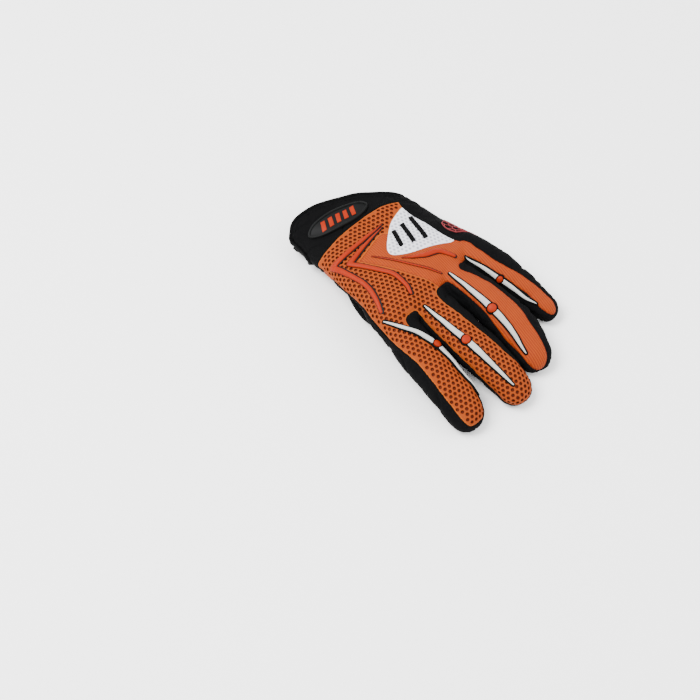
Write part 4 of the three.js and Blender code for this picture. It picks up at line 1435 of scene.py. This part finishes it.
def make_ribs(skin):
    """The ribs on the back of the hand, each with a dark rubber border round it that widens to one side into
    a painted shadow.
    """
    for name, table in RIBS.items():
        line, half_widths = rib_line(skin, table)

        def field_of(rows):
            return upper_only(rows, line_field(rows, line, half_widths))

        def height_of(rows, field):
            return PUFF + ridge(rows, line, half_widths, 0.35, RIB_THICKNESS, 1.6, 0.35)

        def border_and_shadow_field(rows):
            # A band round the line shifted to one side: painted shadow on that side of the rib, joined to a
            # narrow dark border all round it
            distance, half = line_reach(rows, line + RIB_SHADOW_SHIFT, half_widths)
            one_sided_shadow = upper_only(rows, half + 0.5 * np.minimum(half, 1) - distance)
            return np.maximum(field_of(rows) + 0.3, one_sided_shadow)

        def border_and_shadow_height(rows, field):
            return np.full(len(rows), PUFF + 0.3)

        make_relief(skin, f"{name}_band", field_of, height_of, 0.0, "rubber", name)
        # The dark piece is a narrow rubber border round the rib and, on one side, a painted shadow
        make_relief(skin, f"{name}_edge", border_and_shadow_field, border_and_shadow_height, 0.0, "dark_rubber")


def make_guards(skin):
    """A base, two blades and a stud on each finger."""
    for finger in GUARDS:
        rear, front = guard_lines(skin, finger)
        stud = rear[-1]
        share = np.linspace(0, 1, len(rear))
        size = GUARD_SIZES[finger]
        half_widths = size * BLADE_WIDTH * (0.06 + 0.34 * share ** 0.7)
        radius = size * STUD_RADIUS

        def to_stud(rows):
            return np.linalg.norm(rows[:, :3] - stud, axis=1)

        def base_field(rows):
            blades = [line_field(rows, line, half_widths) for line in (rear, front)]
            return np.maximum(np.maximum(*blades), radius - to_stud(rows)) + GUARD_BORDER

        def base_height(rows, field):
            return PUFF + GUARD_BASE_THICKNESS * np.sqrt(np.clip(field / 0.8, 0.05, 1))

        make_relief(skin, f"{finger}_base", base_field, base_height, 0.0, "suede", f"{finger}_guard_base")
        for side, line in (("rear", rear), ("front", front)):
            def blade_field(rows):
                return np.minimum(line_field(rows, line, half_widths), to_stud(rows) - radius - 0.7)

            def blade_height(rows, field):
                height = ridge(rows, line, half_widths, 0.3, BLADE_THICKNESS, 1.8, 0.4)
                return PUFF + GUARD_BASE_THICKNESS + height

            make_relief(
                skin, f"{finger}_{side}", blade_field, blade_height, PUFF + 0.3, "silver",
                f"{finger}_blade_{side}", levels=FINEST,
            )

        def stud_height(rows, field):
            return PUFF + GUARD_BASE_THICKNESS + crown(to_stud(rows) / radius, 0.5, STUD_THICKNESS)

        make_relief(
            skin, f"{finger}_knob", lambda rows: radius - 0.2 - to_stud(rows), stud_height, PUFF + 0.3,
            "rubber", f"{finger}_stud", levels=FINEST,
        )


def make_badge(skin):
    """The oval badge on the cuff, and its bars."""
    centre = plan([BADGE_PLACE])[0]
    angle = math.radians(BADGE_ANGLE)
    pitch = BADGE_LENGTH * 0.62 / BADGE_BARS

    def field_of(rows):
        return upper_only(rows, oval_field(rows, centre, BADGE_LENGTH, BADGE_WIDTH, angle))

    def height_of(rows, field):
        share = (field - BADGE_RIM / 2) / (BADGE_RIM / 2)
        rim = crown(share, BADGE_THICKNESS - 0.5, BADGE_THICKNESS + 0.3)
        return PUFF + np.where(field < BADGE_RIM, rim, BADGE_THICKNESS - FIELD_DEPTH)

    make_relief(
        skin, "badge_plate", field_of, height_of, 0.2, "dark_rubber", "cuff_badge", levels=FINEST,
    )
    for i in range(BADGE_BARS):
        place = turned(np.array([(i - (BADGE_BARS - 1) / 2) * pitch, 0.0]), angle) + centre
        bar = plate_bar(place, BADGE_WIDTH, pitch, angle)
        top = PUFF + BADGE_THICKNESS - FIELD_DEPTH + BAR_THICKNESS
        make_relief(
            skin, f"badge_stripe_{i + 1}", lambda rows: upper_only(rows, outline_field(rows, bar)),
            lambda rows, field: top - 0.2 * np.clip(1 - field / 0.5, 0, 1), top - 0.6,
            "rubber", f"badge_bar_{i + 1}", levels=FINEST,
        )


def make_patch_bars(skin):
    """The bars on the white inset."""
    start, end = plan(PATCH_BAR_ROW)
    for i in range(PATCH_BARS):
        length = GLOVE_LENGTH * (0.07 + 0.02 * i)
        place = start + (end - start) * i / (PATCH_BARS - 1)
        bar = slanted_bar(place, length, GLOVE_WIDTH * 0.03, 0, GLOVE_WIDTH * 0.02)
        make_relief(
            skin, f"patch_stripe_{i + 1}", lambda rows: upper_only(rows, outline_field(rows, bar)),
            lambda rows, field: PUFF + 0.5 + 0.3 * np.clip(field / 0.6, 0, 1), 0.2,
            "suede", f"patch_bar_{i + 1}",
        )


def make_strap(skin):
    """The wrist strap under the cuff, and the pointed rubber tab with its bars."""
    start = plan([STRAP_PLACE])[0]
    angle = math.radians(STRAP_ANGLE)
    half = STRAP_WIDTH / 2
    left = -GLOVE_WIDTH / 5
    right = TAB_LENGTH * 0.92
    strap = turned(np.array([[left, -half], [right, -half], [right, half], [left, half]]), angle) + start
    rim = front_corners(RIM_LINE)

    def strap_field(rows):
        field = np.minimum(outline_field(rows, strap), outline_field(rows, rim) - SEAM_GAP)
        return np.minimum(field, CUFF_RISE + HAND_DEPTH / 2 - rows[:, 2])

    def strap_height(rows, field):
        return SEAM_GAP + STRAP_THICKNESS * np.clip(0.75 + field / 4, 0, 1)

    piece = make_relief(
        skin, "strap_web", strap_field, strap_height, SEAM_GAP, "neoprene", "wrist_strap", levels=0,
    )

    def pointed(inset):
        wide = TAB_WIDTH / 2 - inset
        neck = TAB_LENGTH - TAB_WIDTH * 0.7 - inset
        shape = [[inset, -wide], [neck, -wide], [TAB_LENGTH - inset * 1.6, 0], [neck, wide], [inset, wide]]
        return turned(np.array(shape), angle) + start

    seat = SEAM_GAP + STRAP_THICKNESS + SEAM_GAP
    top = seat + TAB_THICKNESS

    def under(rows, field):
        return lower_only(rows, np.minimum(field, CUFF_RISE + HAND_DEPTH / 4 - rows[:, 2]))

    def tab_height(rows, field):
        deep = np.clip(outline_field(rows, pointed(TAB_RIM)) / 0.4, 0, 1)
        edge = 0.4 * np.clip(1 - field / 0.8, 0, 1)
        return np.minimum(top, rows[:, 2] - 0.02) - FIELD_DEPTH * deep - edge

    make_relief(
        skin, "strap_pull", lambda rows: under(rows, outline_field(rows, pointed(0))), tab_height, seat,
        "dark_rubber", "strap_tab",
    )
    pitch = TAB_LENGTH * 0.55 / TAB_BARS
    for i in range(TAB_BARS):
        place = turned(np.array([TAB_LENGTH * 0.14 + (i + 0.5) * pitch, 0.0]), angle) + start
        bar = plate_bar(place, TAB_WIDTH, pitch, angle)
        make_relief(
            skin, f"tab_stripe_{i + 1}", lambda rows: under(rows, outline_field(rows, bar)),
            lambda rows, field: np.minimum(top, rows[:, 2] - 0.02) - FIELD_DEPTH + BAR_THICKNESS, seat + 1,
            "silver" if i == 0 else "rubber", f"tab_bar_{i + 1}",
        )


def round_section(points):
    """Millimetres round the hand's section from the middle of its underside, towards the little finger."""
    place, u, v, reach = hand.locate(points)
    angle = np.arctan2(u, v)
    turns = np.linspace(math.pi, 0, 60)
    low = np.clip(place.astype(int), 0, hand.last - 1)
    lengths = np.zeros((2, len(points)))
    for row in range(hand.last + 1):
        half_width, half_depth = hand.rows[row, 9:11]
        across = half_width * round_power(np.sin(turns), BODY_ROUNDNESS)
        upwards = half_depth * round_power(np.cos(turns), BODY_ROUNDNESS)
        length_at = np.concatenate([[0], np.cumsum(np.hypot(np.diff(across), np.diff(upwards)))])
        angles = np.arctan2(across, upwards)
        for k in range(2):
            here = low + k == row
            lengths[k, here] = np.interp(math.pi - np.abs(angle[here]), math.pi - angles, length_at)
    share = place - low
    length = lengths[0] * (1 - share) + lengths[1] * share
    return np.where(angle < 0, -length, length), reach


def honeycomb_line(flat):
    """How far inside a line of a honeycomb each place is: positive on the lines."""
    step = HONEYCOMB_PITCH * math.sqrt(3) / 2
    best = np.full(len(flat), 1e9)
    offset = np.zeros_like(flat)
    for shift in (-1, 0, 1):
        row = np.round(flat[:, 1] / step) + shift
        start = (row % 2) / 2
        column = np.round(flat[:, 0] / HONEYCOMB_PITCH - start) + start
        away = flat - np.stack([column * HONEYCOMB_PITCH, row * step], 1)
        nearer = (away ** 2).sum(1) < best
        best = np.where(nearer, (away ** 2).sum(1), best)
        offset[nearer] = away[nearer]
    turns = np.arange(6) * math.pi / 3
    inside = HONEYCOMB_PITCH / 2 - (offset @ np.array([np.cos(turns), np.sin(turns)])).max(1)
    return PRINT_LINE / 2 - inside


def make_prints(skin):
    """The honeycomb on the palm, which wraps up over the little finger's side, and the two finger pads."""
    outline = rounded(np.array(GRIP_OUTLINE) * [1, GLOVE_LENGTH])

    def grip_field(rows):
        field = np.full(len(rows), -9.0)
        near = (rows[:, 1] > -20) & (rows[:, 1] < 60) & (rows[:, 0] > 0)
        length, reach = round_section(rows[near, :3])
        flat = np.stack([length, rows[near, 1]], 1)
        inside = outline_field(flat, outline)
        net = np.maximum(honeycomb_line(flat), PRINT_LINE - inside)
        field[near] = np.minimum(np.minimum(inside, net), (1.25 - reach) * 20)
        return field

    def print_height(rows, field):
        return PUFF + PRINT_THICKNESS * np.sqrt(np.clip(field / 0.3, 0.1, 1))

    make_relief(
        skin, "honeycomb", grip_field, print_height, 0.2, "print", "palm_grip",
        levels=FINEST, degrees=PRINT_SHARP_ANGLE,
    )
    for finger in ("index", "middle"):
        along, across = FINGERS[finger][-1][:2]
        shape = LOZENGE * [FINGER_WIDTH * 0.8, FINGER_WIDTH]
        shape = shape + [across * GLOVE_WIDTH, along * GLOVE_LENGTH + TIP_LENGTH / 2]

        def pad_field(rows):
            inside = outline_field(rows, shape)
            hatch = 0.65 - np.abs((rows[:, 0] + 0.5 * rows[:, 1]) % 3.2 - 1.6)
            return lower_only(rows, np.minimum(inside, np.maximum(hatch, 1.0 - inside)))

        make_relief(
            skin, f"{finger}_pad", pad_field, print_height, 0.2, "print", f"{finger}_grip",
            levels=FINEST, degrees=PRINT_SHARP_ANGLE,
        )


def make_camera():
    """The camera at the photograph's viewing angle."""
    azimuth = math.radians(CAMERA_AZIMUTH)
    elevation = math.radians(CAMERA_ELEVATION)
    right = np.array([math.cos(azimuth), math.sin(azimuth), 0])
    level = np.array([math.sin(azimuth), -math.cos(azimuth), 0])
    back = level * math.cos(elevation) + np.array([0, 0, math.sin(elevation)])
    up = np.cross(back, right)
    focal = PIXELS_PER_MM * CAMERA_DISTANCE
    middle = IMAGE_SIZE / 2
    ray = ((ORIGIN_PIXEL[0] - middle) * right - (ORIGIN_PIXEL[1] - middle) * up) / focal - back
    place = -ray * (CAMERA_DISTANCE * back[2]) / -ray[2]
    camera = bpy.data.objects.new("camera", bpy.data.cameras.new("camera"))
    camera.data.sensor_width = SENSOR_WIDTH
    camera.data.lens = focal / IMAGE_SIZE * SENSOR_WIDTH
    camera.location = (place - PLAN_ORIGIN) * MM
    camera.rotation_euler = Vector(back).to_track_quat("Z", "Y").to_euler()
    bpy.context.scene.collection.objects.link(camera)
    bpy.context.scene.camera = camera


def make_light(name, place, power, size):
    """A square light that faces the glove."""
    data = bpy.data.lights.new(name, "AREA")
    data.energy = power
    data.size = size
    light = bpy.data.objects.new(name, data)
    light.location = place
    light.rotation_euler = Vector(place).to_track_quat("Z", "Y").to_euler()
    bpy.context.scene.collection.objects.link(light)


def make_stage():
    """The floor, the world's light and the lamps."""
    mesh = bpy.data.meshes.new("floor")
    corners = ((-1, -1), (1, -1), (1, 1), (-1, 1))
    mesh.from_pydata([(x * FLOOR_HALF, y * FLOOR_HALF, 0) for x, y in corners], [], [(0, 1, 2, 3)])
    floor = bpy.data.objects.new("floor", mesh)
    bpy.context.scene.collection.objects.link(floor)
    material = bpy.data.materials.new("floor")
    material.use_nodes = True
    shader = material.node_tree.nodes["Principled BSDF"]
    shader.inputs["Base Color"].default_value = (*[FLOOR_GREY] * 3, 1)
    shader.inputs["Roughness"].default_value = FLOOR_ROUGHNESS
    floor.data.materials.append(material)
    world = bpy.data.worlds.new("studio")
    world.use_nodes = True
    world.node_tree.nodes["Background"].inputs["Color"].default_value = (1, 1, 1, 1)
    world.node_tree.nodes["Background"].inputs["Strength"].default_value = WORLD_STRENGTH
    bpy.context.scene.world = world
    for name, light in LIGHTS.items():
        make_light(name, *light)


make_camera()
make_stage()
skin = make_skin()
for panel_name, panel in cut_panels(skin).items():
    make_panel(panel_name, *panel)
make_rim(skin)
make_thumb(skin)
make_ribs(skin)
make_guards(skin)
make_badge(skin)
make_patch_bars(skin)
make_strap(skin)
make_prints(skin)
